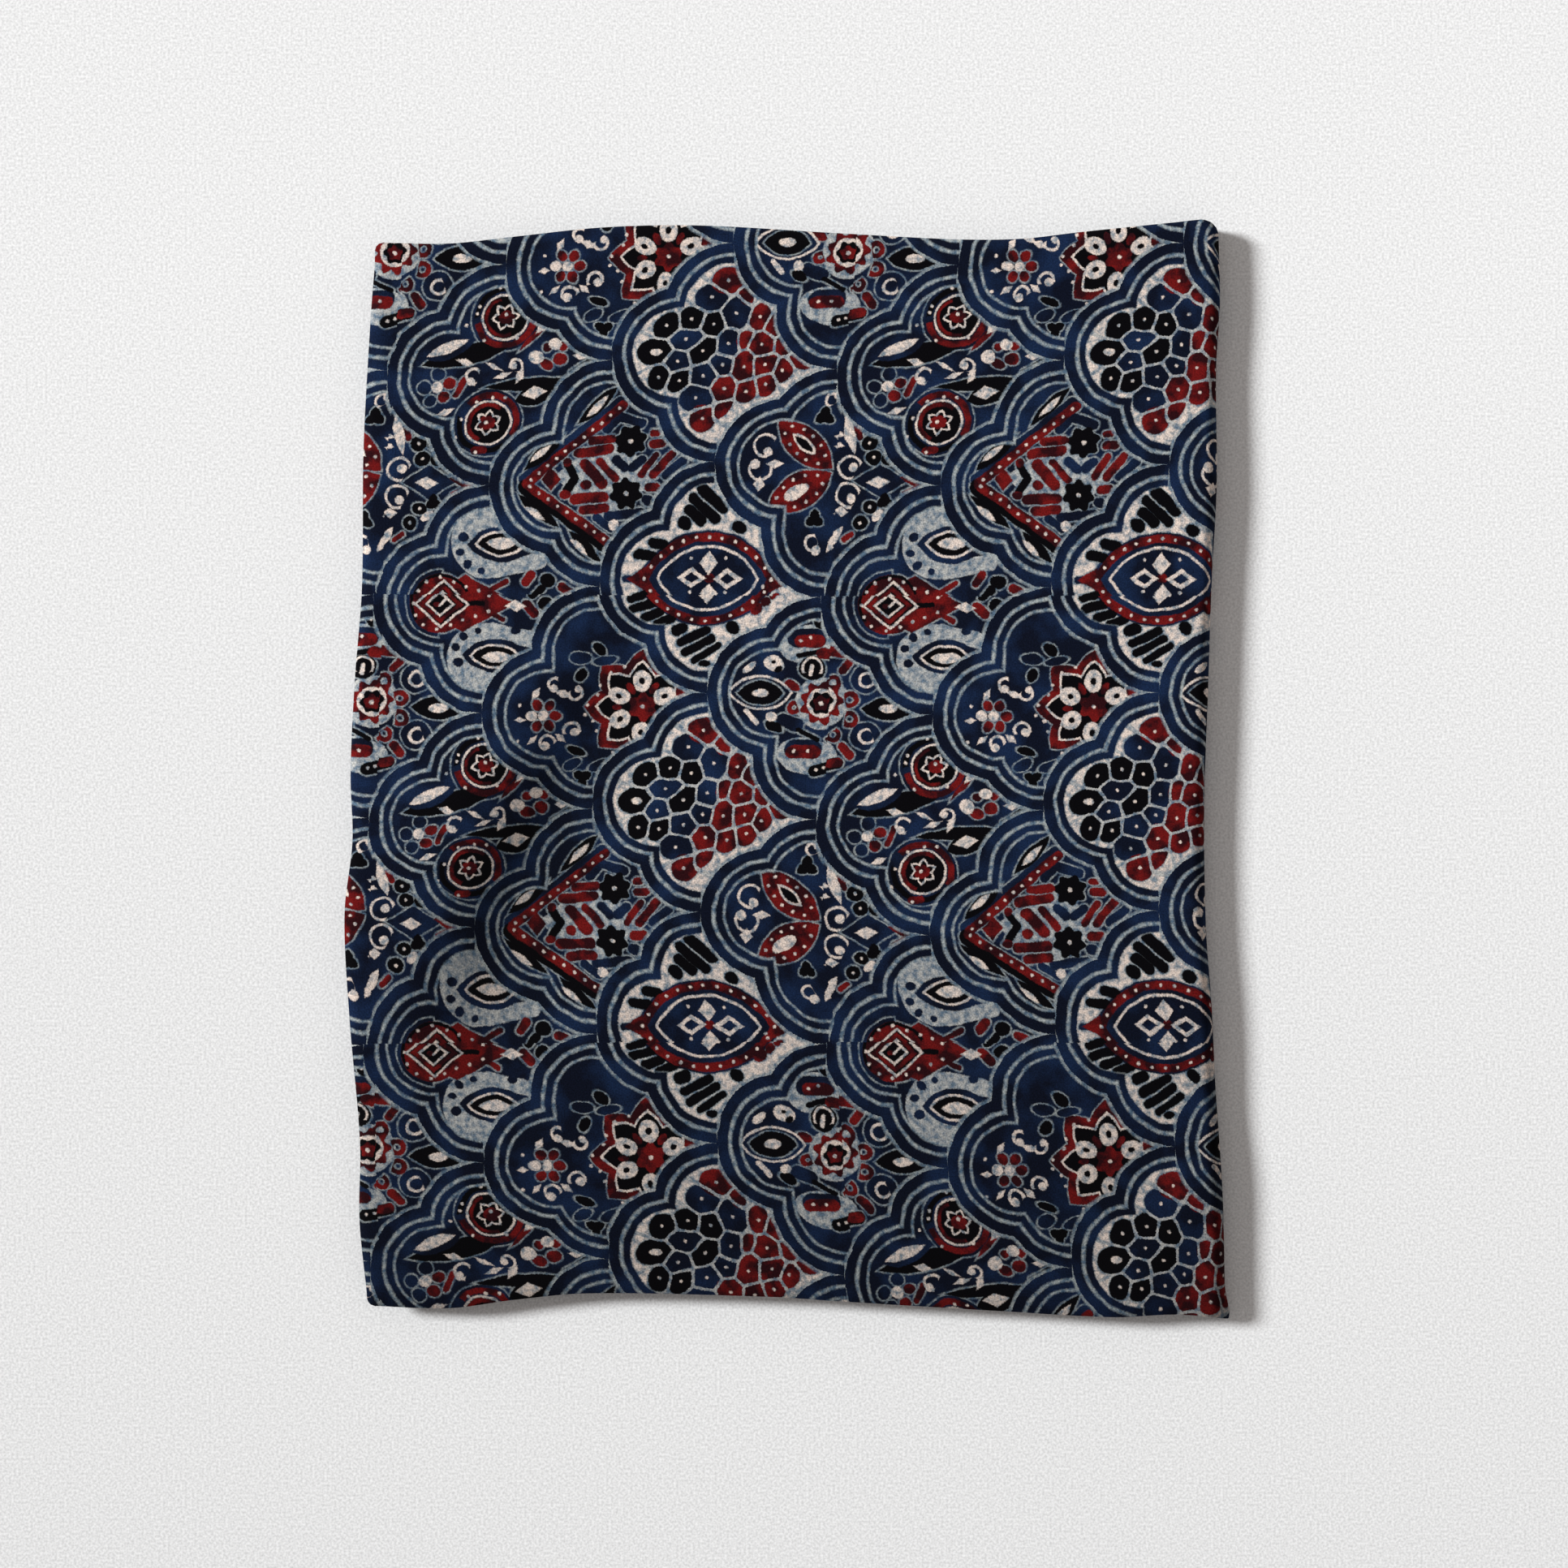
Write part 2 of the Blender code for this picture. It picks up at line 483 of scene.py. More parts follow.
    def drift_at(self, x: float, y: float) -> Vector:
        """How far the print has moved at a place on the top layer.

        Args:
            x: the place to the right of the packet's middle, in metres.
            y: the place up the packet from its middle, in metres.

        Returns:
            The move to the right and up, in metres.
        """
        rows = self.drifts
        height = min(max(y / MM, rows[-1].y), rows[0].y)
        here = max(index for index in range(len(rows) - 1) if rows[index].y >= height)
        start, end = rows[here], rows[here + 1]
        share = eased((start.y - height) / (start.y - end.y))
        aside = x / (self.width / 2)
        moves = zip(start.at(aside), end.at(aside))
        return Vector((*(mix(first, second, share) * MM for first, second in moves), 0.0))

    def laid(self, stations: list[Station]) -> tuple[list[Vector], list[Vector]]:
        """The middle of the sheet as a grid, row after row up the packet.

        Args:
            stations: the stations along the strip.

        Returns:
            The points in the packet, and the places of the same points on the flat cloth.
        """
        points, places = [], []
        for share_up in self.shares(self.length_steps, True):
            before, place = None, None
            for station in stations:
                point = self.middle_at(station, share_up)
                if station.on_top and station.side == FLAT:
                    place = Vector((point.x, point.y, 0.0)) - self.drift_at(point.x, point.y)
                else:
                    place = place + Vector(((point - before).length, 0.0, 0.0))
                points.append(point)
                places.append(place)
                before = point
        return points, places

    def build(self) -> bpy.types.Object:
        """Makes the sheet.

        Returns:
            The sheet, whose points know their place on the flat cloth.
        """
        stations = self.stations()
        points, places = self.laid(stations)
        across, rows = len(stations), len(points) // len(stations)
        middle_row = points[rows // 2 * across : (rows // 2 + 1) * across]
        lengths = ((after - here).length for here, after in zip(middle_row, middle_row[1:]))
        self.cut_width = sum(lengths)
        grid = [
            (first, first + 1, first + 1 + across, first + across)
            for row in range(rows - 1)
            for first in range(row * across, row * across + across - 1)
        ]
        middle = bpy.data.meshes.new("middle")
        middle.from_pydata(points, [], grid)
        half = [vertex.normal * (self.thickness / 2) for vertex in middle.vertices]
        faces, corners = self.skin(stations, grid)
        mesh = bpy.data.meshes.new("printed_sheet")
        outer = [point + side for point, side in zip(points, half)]
        inner = [point - side for point, side in zip(points, half)]
        mesh.from_pydata(outer + inner, [], faces)
        bpy.data.meshes.remove(middle)
        on_cloth = mesh.attributes.new("cloth_place", "FLOAT_VECTOR", "POINT")
        on_cloth.data.foreach_set("vector", [part for place in places * 2 for part in place])
        mesh.uv_layers.new(name="OFBake").uv.foreach_set("vector", corners)
        mesh.shade_smooth()
        mesh.set_sharp_from_angle(angle=math.radians(self.sharp_angle))
        sheet = bpy.data.objects.new("printed_sheet", mesh)
        bpy.context.scene.collection.objects.link(sheet)
        return sheet

    def skin(self, stations: list[Station], grid: list[tuple]) -> tuple[list[tuple], list[float]]:
        """The faces round the sheet, and where each corner lies on the flat map.

        The face that shows on top takes most of the map. The rest lies in narrow bands over it.

        Args:
            stations: the stations along the strip.
            grid: the faces of the sheet's middle.

        Returns:
            The faces, and the two numbers of each of their corners in one list.
        """
        across = len(stations)
        under = grid[-1][2] + 1
        rows = under // across
        shown = sum(station.on_top for station in stations)
        faces: list[tuple] = []
        corners: list[float] = []

        def along_map(share: float) -> float:
            return mix(self.map_margin, 1 - self.map_margin, share)

        def side(face: tuple, band: tuple, start: int, end: int, below: int = 0) -> None:
            faces.append(tuple(vertex + below for vertex in face))
            for vertex in face:
                row, column = divmod(vertex, across)
                share = (column - start) / (end - start)
                corners.extend((along_map(share), mix(*band, row / (rows - 1))))

        def rim(run: range, band: tuple, flip: bool) -> None:
            low, high = band
            for step, (here, after) in enumerate(zip(run, run[1:])):
                start, end = (along_map((step + near) / (len(run) - 1)) for near in (0, 1))
                face = [here, here + under, after + under, after]
                flat = [(start, low), (start, high), (end, high), (end, low)]
                faces.append(tuple(face[::-1] if flip else face))
                corners.extend(part for pair in (flat[::-1] if flip else flat) for part in pair)

        for face in grid:
            if face[0] % across < shown:
                side(face, self.top_band, 0, shown)
            else:
                side(face, self.hidden_band, shown, across - 1)
        for face in grid:
            side(face[::-1], self.under_band, 0, across - 1, under)
        rim(range(across), self.bottom_rim, False)
        rim(range(under - across, under), self.top_rim, True)
        rim(range(0, under, across), self.first_rim, True)
        rim(range(across - 1, under, across), self.last_rim, False)
        return faces, corners


class NodeShop:
    """Makes the nodes of one material."""

    def __init__(self, tree: bpy.types.NodeTree) -> None:
        """Takes the node tree that the nodes go into."""
        self.tree = tree

    def node(
        self, kind: str, settings: dict | None = None, inputs: dict | None = None, output: int = 0
    ) -> "Wire":
        """Makes one node.

        Args:
            kind: the node's type.
            settings: its own settings, which are set first.
            inputs: the value or wire of each socket, by name or number.
            output: the number of the output that is wanted.

        Returns:
            The wire from that output.
        """
        made = self.tree.nodes.new(kind)
        for name, setting in (settings or {}).items():
            setattr(made, name, setting)
        for key, value in (inputs or {}).items():
            self.feed(made.inputs[key], value)
        return Wire(self, made.outputs[output])

    def feed(self, socket: bpy.types.NodeSocket, value: Value | Colour) -> None:
        """Links a wire to a socket, or sets its value.

        Args:
            socket: the socket, an input of a node.
            value: what it gets.
        """
        if isinstance(value, Wire):
            self.tree.links.new(value.socket, socket)
        else:
            socket.default_value = value

    def grouped(
        self, name: str, sent: dict[str, "Wire"], draw: Callable[[dict[str, "Wire"]], "Wire"]
    ) -> "Wire":
        """Makes nodes in a group of their own.

        Args:
            name: the group's name.
            sent: the wires that go into it, by name.
            draw: what makes its nodes from the wires as they arrive.

        Returns:
            The colour that comes out of it.
        """
        tree = bpy.data.node_groups.new(name, "ShaderNodeTree")
        kinds = {"VECTOR": "NodeSocketVector", "RGBA": "NodeSocketColor"}
        for key, wire in sent.items():
            tree.interface.new_socket(key, in_out="INPUT", socket_type=kinds[wire.socket.type])
        tree.interface.new_socket("Colour", in_out="OUTPUT", socket_type="NodeSocketColor")
        inner = NodeShop(tree)
        door = tree.nodes.new("NodeGroupInput")
        colour = draw({key: Wire(inner, door.outputs[key]) for key in sent})
        inner.feed(tree.nodes.new("NodeGroupOutput").inputs[0], colour)
        return self.node("ShaderNodeGroup", {"node_tree": tree}, sent)


class Wire:
    """One output of a node, which sums and products can be written with."""

    def __init__(self, shop: NodeShop, socket: bpy.types.NodeSocket) -> None:
        """Takes the shop that makes its nodes and the output it comes from."""
        self.shop = shop
        self.socket = socket

    def math(self, operation: str, *others: Value, clamp: bool = False) -> "Wire":
        """One step of maths on this value and the others."""
        settings = {"operation": operation, "use_clamp": clamp}
        return self.shop.node("ShaderNodeMath", settings, dict(enumerate((self, *others))))

    def __add__(self, other: Value) -> "Wire":
        """The sum."""
        return self.math("ADD", other)

    def __sub__(self, other: Value) -> "Wire":
        """The difference."""
        return self.math("SUBTRACT", other)

    def __rsub__(self, other: float) -> "Wire":
        """The difference from a number."""
        return self.shop.node("ShaderNodeMath", {"operation": "SUBTRACT"}, {0: other, 1: self})

    def __mul__(self, other: Value) -> "Wire":
        """The product."""
        return self.math("MULTIPLY", other)

    def __abs__(self) -> "Wire":
        """The size without the sign."""
        return self.math("ABSOLUTE")

    __radd__ = __add__
    __rmul__ = __mul__

    def vector(self, operation: str, *others: Colour) -> "Wire":
        """One step of vector maths on this vector and the others, whose result may be a number."""
        output = int(operation in ("LENGTH", "DISTANCE", "DOT_PRODUCT"))
        inputs = dict(enumerate((self, *others)))
        return self.shop.node("ShaderNodeVectorMath", {"operation": operation}, inputs, output)

    def parts(self, turn: float = 0.0) -> tuple["Wire", "Wire"]:
        """The two numbers of this vector on the flat cloth, in a frame turned by some degrees."""
        along = self.vector("DOT_PRODUCT", (*rotated(1.0, 0.0, -turn), 0.0))
        return along, self.vector("DOT_PRODUCT", (*rotated(0.0, 1.0, -turn), 0.0))

    def joined(self, up: Value) -> "Wire":
        """The vector on the flat cloth that goes this far to the right, and that far up."""
        return self.shop.node("ShaderNodeCombineXYZ", inputs={0: self, 1: up})

    def blend(self, first: Colour, second: Colour) -> "Wire":
        """The colour this share of the way from the first to the second."""
        inputs = {0: self, 6: first, 7: second}
        return self.shop.node("ShaderNodeMix", {"data_type": "RGBA"}, inputs, 2)

    def toward(self, other: Colour, share: float) -> "Wire":
        """The colour a fixed share of the way from this one to another."""
        inputs = {0: share, 6: self, 7: other}
        return self.shop.node("ShaderNodeMix", {"data_type": "RGBA"}, inputs, 2)

    def tinted(self, tint: "Wire") -> "Wire":
        """This colour times another."""
        settings = {"data_type": "RGBA", "blend_type": "MULTIPLY"}
        return self.shop.node("ShaderNodeMix", settings, {0: 1.0, 6: self, 7: tint}, 2)

    def cloud(self, per_mm: float, detail: float = 1.0, colour: bool = False) -> "Wire":
        """A soft random field, about 0.5 at its middle, at this place on the flat cloth.

        Args:
            per_mm: how many of its spots come to a millimetre.
            detail: how many finer layers it has.
            colour: whether three numbers are wanted rather than one.

        Returns:
            The field's value there.
        """
        inputs = {"Vector": self, "Scale": per_mm, "Detail": detail}
        settings = {"noise_dimensions": "2D"}
        return self.shop.node("ShaderNodeTexNoise", settings, inputs, int(colour))


class Ink(Enum):
    """What a mark of the blocks leaves on the cloth, in the order of printing."""

    GROUND = "bare cloth under the other marks"
    BLUE = "indigo"
    BLACK = "iron black"
    RED = "madder"
    PALE = "bare cloth"
    TOP_BLUE = "indigo on bare cloth"
    TOP_BLACK = "iron black on bare cloth"
    TOP_RED = "madder on bare cloth"
    TOP_PALE = "bare cloth in the middle of a mark"


class Form(Enum):
    """The shapes that the marks are cut in."""

    BALL = "an oval"
    LEAF = "a lens with two points"
    BAR = "a rod with round ends"
    KITE = "a diamond"
    STAR = "a star with sharp points"
    FLOWER = "a rosette with round petals"


DYED = (Ink.BLUE, Ink.BLACK, Ink.RED)

# How far inside its mark's edge a bead stays, in its own sizes, and a place well off the cloth
BEAD_MARGIN = 0.6
OFF_THE_CLOTH = 500.0


@dataclass(frozen=True)
class Mark:
    """One mark of a medallion, in millimetres from its tip: right and up, half its length and half
    its width, and the turn of its length from the right in degrees.

    A round mark has no breadth of its own. A star or rosette has its radius and the depth of its
    notches for sizes, and a number of points. A cut keeps only what lies further along than that
    from the middle. A band is the width of a hollow mark's line. A dot is a pale one in the middle.
    Beads are such dots along a rod or along the band of a leaf, this far apart. A mirrored mark
    comes a second time below the medallion's axis."""

    form: Form
    right: float
    up: float
    reach: float
    breadth: float = 0.0
    turn: float = 0.0
    cut: float | None = None
    band: float = 0.0
    dot: float = 0.0
    beads: float = 0.0
    mirrored: bool = False
    points: int = 6
    ink: Ink = Ink.TOP_PALE

    @property
    def middle(self) -> tuple[float, float, float]:
        """The mark's middle in its own turned frame."""
        return (*rotated(self.right, self.up, self.turn), 0.0)

    @property
    def arc(self) -> float:
        """The radius of the two arcs that bound a leaf."""
        return (self.reach**2 + self.breadth**2) / (2 * self.breadth)

    def distance(self, spot: Wire) -> Wire:
        """How far a place is outside the mark.

        Args:
            spot: the place in the mark's turned frame.

        Returns:
            The distance in millimetres, negative inside.
        """
        shaped = getattr(self, "as_" + self.form.name.lower())(spot)
        if self.band:
            shaped = abs(shaped + self.band / 2) - self.band / 2
        if self.cut is not None:
            along, _ = spot.parts()
            shaped = shaped.math("MAXIMUM", (self.middle[0] + self.cut) - along)
        return shaped

    def as_ball(self, spot: Wire) -> Wire:
        """The distance from an oval.

        Args:
            spot: the place in the mark's turned frame.

        Returns:
            The distance, which is true for a round mark and close to it for an oval.
        """
        if self.breadth in (0.0, self.reach):
            return spot.vector("DISTANCE", self.middle) - self.reach
        x, y, _ = self.middle
        scale = (1 / self.reach, 1 / self.breadth, 1.0)
        offset = (-x / self.reach, -y / self.breadth, 0.0)
        span = spot.vector("MULTIPLY_ADD", scale, offset).vector("LENGTH")
        size = math.sqrt(self.reach * self.breadth)
        return span.math("MULTIPLY_ADD", size, -size)

    def as_leaf(self, spot: Wire) -> Wire:
        """The distance from a lens, which two arcs bound."""
        hub = (0.0, self.breadth - self.arc, 0.0)
        return self.folded(spot).vector("DISTANCE", hub) - self.arc

    def as_bar(self, spot: Wire) -> Wire:
        """The distance from a rod: from the nearest place on its axis, less half its width."""
        x, y, _ = self.middle
        run = self.reach - self.breadth
        nearest = spot.vector("MAXIMUM", (x - run, y, 0.0)).vector("MINIMUM", (x + run, y, 0.0))
        return spot.vector("DISTANCE", nearest) - self.breadth

    def as_kite(self, spot: Wire) -> Wire:
        """The distance from a diamond."""
        size = self.reach * self.breadth / math.hypot(self.reach, self.breadth)
        slopes = (size / self.reach, size / self.breadth, 1.0)
        return self.folded(spot).vector("DOT_PRODUCT", slopes) - size

    def as_star(self, spot: Wire) -> Wire:
        """The distance from a star, whose first point lies along its turn."""
        far, angle = self.around(spot)
        notch = (angle * (self.points / math.pi)).math("PINGPONG", 1.0)
        return far + notch.math("MULTIPLY_ADD", self.breadth, -self.reach)

    def as_flower(self, spot: Wire) -> Wire:
        """The distance from a rosette, whose first petal lies along its turn."""
        far, angle = self.around(spot)
        wave = (angle * float(self.points)).math("COSINE")
        return far - wave.math("MULTIPLY_ADD", self.breadth / 2, self.reach - self.breadth / 2)

    def folded(self, spot: Wire) -> Wire:
        """The place from the mark's middle, folded over both its axes."""
        return spot.vector("SUBTRACT", self.middle).vector("ABSOLUTE")

    def around(self, spot: Wire) -> tuple[Wire, Wire]:
        """The distance from the mark's middle and the angle round it."""
        offset = spot.vector("SUBTRACT", self.middle)
        x, y = offset.parts()
        return offset.vector("LENGTH"), y.math("ARCTAN2", x)

    def pale_dots(self, spot: Wire, shaped: Wire) -> Wire | None:
        """The pale dots in the mark's middle or along it.

        Args:
            spot: the place in the mark's turned frame.
            shaped: the distance from the mark.

        Returns:
            The distance from the nearest dot, if the mark has any.
        """
        if not self.dot:
            return None
        if not self.beads:
            return spot.vector("DISTANCE", self.middle) - self.dot
        near = self.rod_beads(spot) if self.form is Form.BAR else self.leaf_beads(spot)
        return (near - self.dot).math("MAXIMUM", shaped + self.dot * BEAD_MARGIN)

    def rod_beads(self, spot: Wire) -> Wire:
        """How far a place is from the nearest bead's middle along a rod."""
        x, y, _ = self.middle
        lowest = (x - self.beads / 2, y - OFF_THE_CLOTH, -OFF_THE_CLOTH)
        highest = (x + self.beads / 2, y + OFF_THE_CLOTH, OFF_THE_CLOTH)
        return spot.vector("WRAP", highest, lowest).vector("DISTANCE", self.middle)

    def leaf_beads(self, spot: Wire) -> Wire:
        """How far a place is from the nearest bead's middle along the band of a hollow leaf.

        Args:
            spot: the place in the mark's turned frame.

        Returns:
            The distance, in millimetres.
        """
        track = self.arc - self.band / 2
        offset = self.folded(spot).vector("ADD", (0.0, self.arc - self.breadth, 0.0))
        aside, up = offset.parts()
        along = (aside.math("ARCTAN2", up) * track).math("PINGPONG", self.beads / 2)
        return along.joined(offset.vector("LENGTH") - track).vector("LENGTH")


@dataclass(frozen=True)
class Medallion:
    """One of the eight medallions: its place in the repeat and the marks that fill it.

    Its ground is open where it reaches further into the border, and its marks are packed where a
    pale line keeps them apart like cells. The slip is how far off its block may be set."""

    name: str
    number: int
    marks: tuple[Mark, ...]
    open_ground: bool
    packed: bool
    slip: float = 0.25
    slip_turn: float = 2.4

    @classmethod
    def of(
        cls,
        name: str,
        number: int,
        open_ground: bool = False,
        packed: bool = False,
        **inks: list[Mark],
    ) -> "Medallion":
        """A medallion from its marks.

        Args:
            name: its name.
            number: its number in the repeat.
            open_ground: whether its ground is open.
            packed: whether its marks are packed.
            inks: the marks of each ink, by the ink's name.

        Returns:
            The medallion, whose marks know their inks.
        """
        found = [replace(mark, ink=Ink[ink.upper()]) for ink in inks for mark in inks[ink]]
        return cls(name, number, tuple(found), open_ground, packed)

    def shift(self) -> tuple[float, float, float]:
        """How far its block is set off from the border, in millimetres."""
        turn = self.slip_turn * self.number
        return (self.slip * math.sin(turn + 1.0), self.slip * math.cos(turn), 0.0)


ball, leaf, bar, kite, star, flower = (functools.partial(Mark, form) for form in Form)
cell = functools.partial(ball, dot=0.5)


def dots(*places: float, size: float = 0.52) -> list[Mark]:
    """Small round marks at these places, each a number to the right and a number up."""
    return [ball(right, up, size) for right, up in zip(places[::2], places[1::2])]


PAISLEYS = Medallion.of(
    "paisleys",
    0,
    blue=[
        ball(37.1, 19, 10.9), ball(33.7, -15.1, 10.9), ball(16.6, 0.5, 2.1), ball(12.4, -3.8, 2.1),
        ball(14.5, -8.1, 2),
    ],
    black=[
        leaf(26, 7, 15.5, 3.4, 14), ball(37.1, 19, 10, 10, 110, 3, 1.8),
        ball(33.7, -15.1, 10, 10, -120, 3, 1.8), leaf(45, -2.4, 14, 2, 6),
        leaf(48, -5.6, 7, 3.6, 20), bar(64, 4.6, 7, 0.9, 32),
    ],
    red=[
        ball(37.1, 19, 10, 10, -70, -1, 2), leaf(46.5, 12.8, 6.5, 1, 48),
        ball(33.7, -15.1, 10, 10, 55, 1, 2), bar(31.8, -24.2, 2.6, 1.2, 5),
        ball(20.3, -2.3, 2.1, 1.7, 15), ball(18.8, -6.7, 2, 1.8), bar(23.6, -3.6, 3.7, 1, 65),
        ball(50.8, 9.2, 1.5, 1.4), ball(56, 9.7, 1.5), ball(55.2, 5.6, 2.3, 2),
        ball(50.8, 4, 2.4, 1.7, -20),
    ],
    pale=[
        ball(37.1, 19, 7.5), kite(49, 16.2, 3.4, 1.6, 50), ball(33.7, -15.1, 7.5),
        ball(16.4, -3.6, 1.8), ball(27.8, -0.1, 2.9, 2.9, 160, -1.4, 0.9), ball(26.8, -1.7, 1.3),
        kite(25, 4.4, 2.8, 1.2, -10), kite(34, 3.2, 3.2, 0.8, -25), kite(37, 0.4, 3, 1, 20),
        ball(41.3, 3.2, 2.5, 2.5, 60, -1.4, 0.8), ball(40.4, 3.4, 1.1), kite(42.6, 0, 2.6, 1.3, 60),
        ball(47.6, 6.2, 2.3, 2.1), ball(53.4, 10.3, 2, 1.8), kite(61.8, 6.6, 2.4, 1.3),
        kite(19.8, -11.6, 3, 1.2, 20),
    ],
    top_blue=[leaf(20, 8.6, 8.4, 3.2, 22)],
    top_black=[ball(37.1, 19, 6.8), ball(33.7, -15.1, 6.8)],
    top_red=[
        ball(37.1, 19, 6.4, 6.4, 200, 0, 1), ball(37.4, 19, 2.5, 2.2),
        ball(33.7, -15.1, 6.6, 6.6, 150, -1, 1.3), ball(33.4, -15.1, 2.6, 2.3),
    ],
    top_pale=[
        leaf(19.5, 9, 6.9, 1.8, 24), star(37.1, 19, 4.5, 1.5, 10, band=0.8), ball(37.2, 19.9, 0.6),
        star(33.7, -15.1, 4.4, 1.5, 25, band=0.8), ball(33.2, -15, 0.6),
        kite(47.4, -5.2, 4.1, 2.3, 8),
        *dots(
            24.8, 16.2, 28, 20.2, 28.6, 22.6, 31, 11.6, 34.6, 28.2, 41.2, 12.4, 24, -20, 25.2, -14,
            29.2, -8.4, 34.4, -6.9, 38.4, -6.9, 30.8, -24.8,
        ),
    ],
)

BULB = Medallion.of(
    "bulb",
    1,
    ground=[ball(34.8, 18, 11, mirrored=True), bar(45, 11, 9.6, 2.5, 12, mirrored=True)],
    blue=[ball(20.9, -1, 10.6, 10.6, 180, 0)],
    black=[
        ball(54.7, 6.4, 2.5, 2.2), ball(55, -0.8, 2.4, 2.2), bar(51.6, 3, 2.8, 1.4, 45),
        bar(57.8, -3.4, 4.4, 1, 45),
    ],
    red=[
        ball(20.9, -1, 9.4), kite(28.4, -0.9, 16.8, 9), bar(38.6, 4.4, 4.2, 0.9, 28, mirrored=True),
        bar(48.6, 7.2, 3, 1.4, 50), bar(50.2, -2.4, 3.4, 1.6, -45), bar(60.6, 3.8, 3, 1.4, -25),
        bar(64.6, 2.4, 4, 1.1, 22),
    ],
    pale=[kite(45.4, -1.6, 3.4, 1.8)],
    top_blue=[
        leaf(39.5, 17.4, 10.8, 5.5, mirrored=True), ball(27.6, 19.6, 1.7, 1.4, mirrored=True),
        ball(26.7, 14.8, 1.5, 1.2, mirrored=True), ball(29, 11.2, 1.6, 1.3, 45, mirrored=True),
        ball(33.6, 9.4, 1.1, mirrored=True), ball(45.6, -9.2, 1.5, 1.4),
    ],
    top_black=[
        ball(20.9, -1, 9.4, 9.4, 120, -1, 1), bar(32, -0.9, 3.6, 0.8), kite(21.6, -1.2, 9, 7.8),
        leaf(39.4, 17.6, 7.4, 3.2, mirrored=True),
    ],
    top_red=[
        kite(21.4, -1.2, 7.2, 6.2, band=1.2), ball(20.2, -1.2, 1, 0.8),
        bar(40.4, 17.9, 1.9, 0.6, 15, mirrored=True),
    ],
    top_pale=[
        kite(21.6, -1.2, 9, 7.8, band=0.7), kite(21.2, -1.2, 4.8, 4.2, band=0.7),
        bar(22.4, -0.4, 1.9, 0.4, 45), leaf(39.4, 17.6, 8.3, 4, band=0.7, mirrored=True),
        leaf(39.8, 17.8, 4.9, 1.8, mirrored=True),
        *dots(
            12.6, -1, 13.4, 2.9, 16, 5.8, 20.4, 7.2, 24.8, 5.9, 28.6, 4.4, 32.6, 3.2, 36.6, 1.6,
            13.4, -4.9, 16, -7.8, 20.4, -9.2, 24.8, -7.8, 28.6, -6.2, 32.6, -4.8, 36.6, -3.2,
        ),
    ],
)

ROSETTE = Medallion.of(
    "rosette",
    2,
    blue=[
        ball(30.8, 18, 3.5, 1.9, -5), ball(38.6, 17.4, 3.8, 1.4, 10),
        ball(28.8, -16.2, 3.1, 1.8, 25), ball(38.2, -16.4, 4.4, 1.8, 20),
    ],
    black=[
        ball(36.7, 21, 2.7, 1.8, -40), ball(31.2, 12.7, 2.3, 1.8, 60),
        ball(29.9, -11.8, 3.2, 1.4, -20), star(32.3, -20.6, 3.3, 1.7, -90, points=3),
    ],
    red=[
        star(50.6, 2.6, 18.6, 4.6, points=8), ball(23, -0.4, 1.9, 1.6),
        ball(21.1, 2.9, 1.9, 1.6, 60), ball(17.3, 2.9, 1.9, 1.6, -60),
        ball(17.3, -3.7, 1.9, 1.6, 60), ball(21.1, -3.7, 1.9, 1.6, -60),
    ],
    pale=[
        star(50.6, 2.6, 15.2, 4.2, points=8), ball(15.4, -0.4, 1.9, 1.6), ball(19.2, -0.4, 1.6),
        kite(16.8, 6.4, 2.2, 1.1, 60), kite(11.8, -1.9, 1.8, 1), kite(15.7, -8.2, 2.2, 1, 45),
        ball(22.9, 9.6, 2.5, 2.5, 180, -1, 0.9), ball(22.6, 8.4, 1.2),
        ball(29.3, 7, 2.5, 2.5, -60, -1.2, 0.9), ball(30.2, 8.2, 1.1),
        ball(20.6, -9.2, 2.8, 2.8, 130, -1.4, 0.9), ball(20, -10.4, 1.4),
        ball(28.2, -4.8, 2.9, 2.9, 100, -1, 0.9), ball(29.2, -5.4, 1.4),
        kite(24.8, -7.6, 2.2, 1.2, -40), kite(25.6, 6.6, 3, 1.2, -20),
    ],
    top_black=[star(50.6, 2.6, 14.3, 4.2, points=8)],
    top_red=[
        flower(50.9, 2.8, 4.9, 1.3, 30, dot=0.6), ball(47, 8.6, 2, 1.1, -60),
        ball(54.4, 8.6, 2, 1.1, 60), ball(42.6, 2.4, 1.6, 0.9),
    ],
    top_pale=[
        ball(43.4, 6.2, 3.5, 2.7, -25, band=2.1), ball(43.6, -1.4, 3.4, 2.8, 30, band=2.1),
        ball(50.4, -5.6, 2.8, 3.5, band=2.1), ball(50.6, 11, 2.8, 3.5, band=2.1),
        ball(57.8, 6.4, 3.5, 2.7, 25, band=2.1), ball(57.6, -1.6, 3.4, 2.7, -30, band=2.1),
        *dots(
            11.8, 2.9, 11.3, -8.7, 40.4, 13.6, 44.8, 15.4, 37.4, 9.6, 36.4, 6.6, 33, 3.1, 32.5, 0,
            35.2, -1.8, 36.5, -5.2, 41.4, -12.2, 44.8, -12.8,
        ),
    ],
)

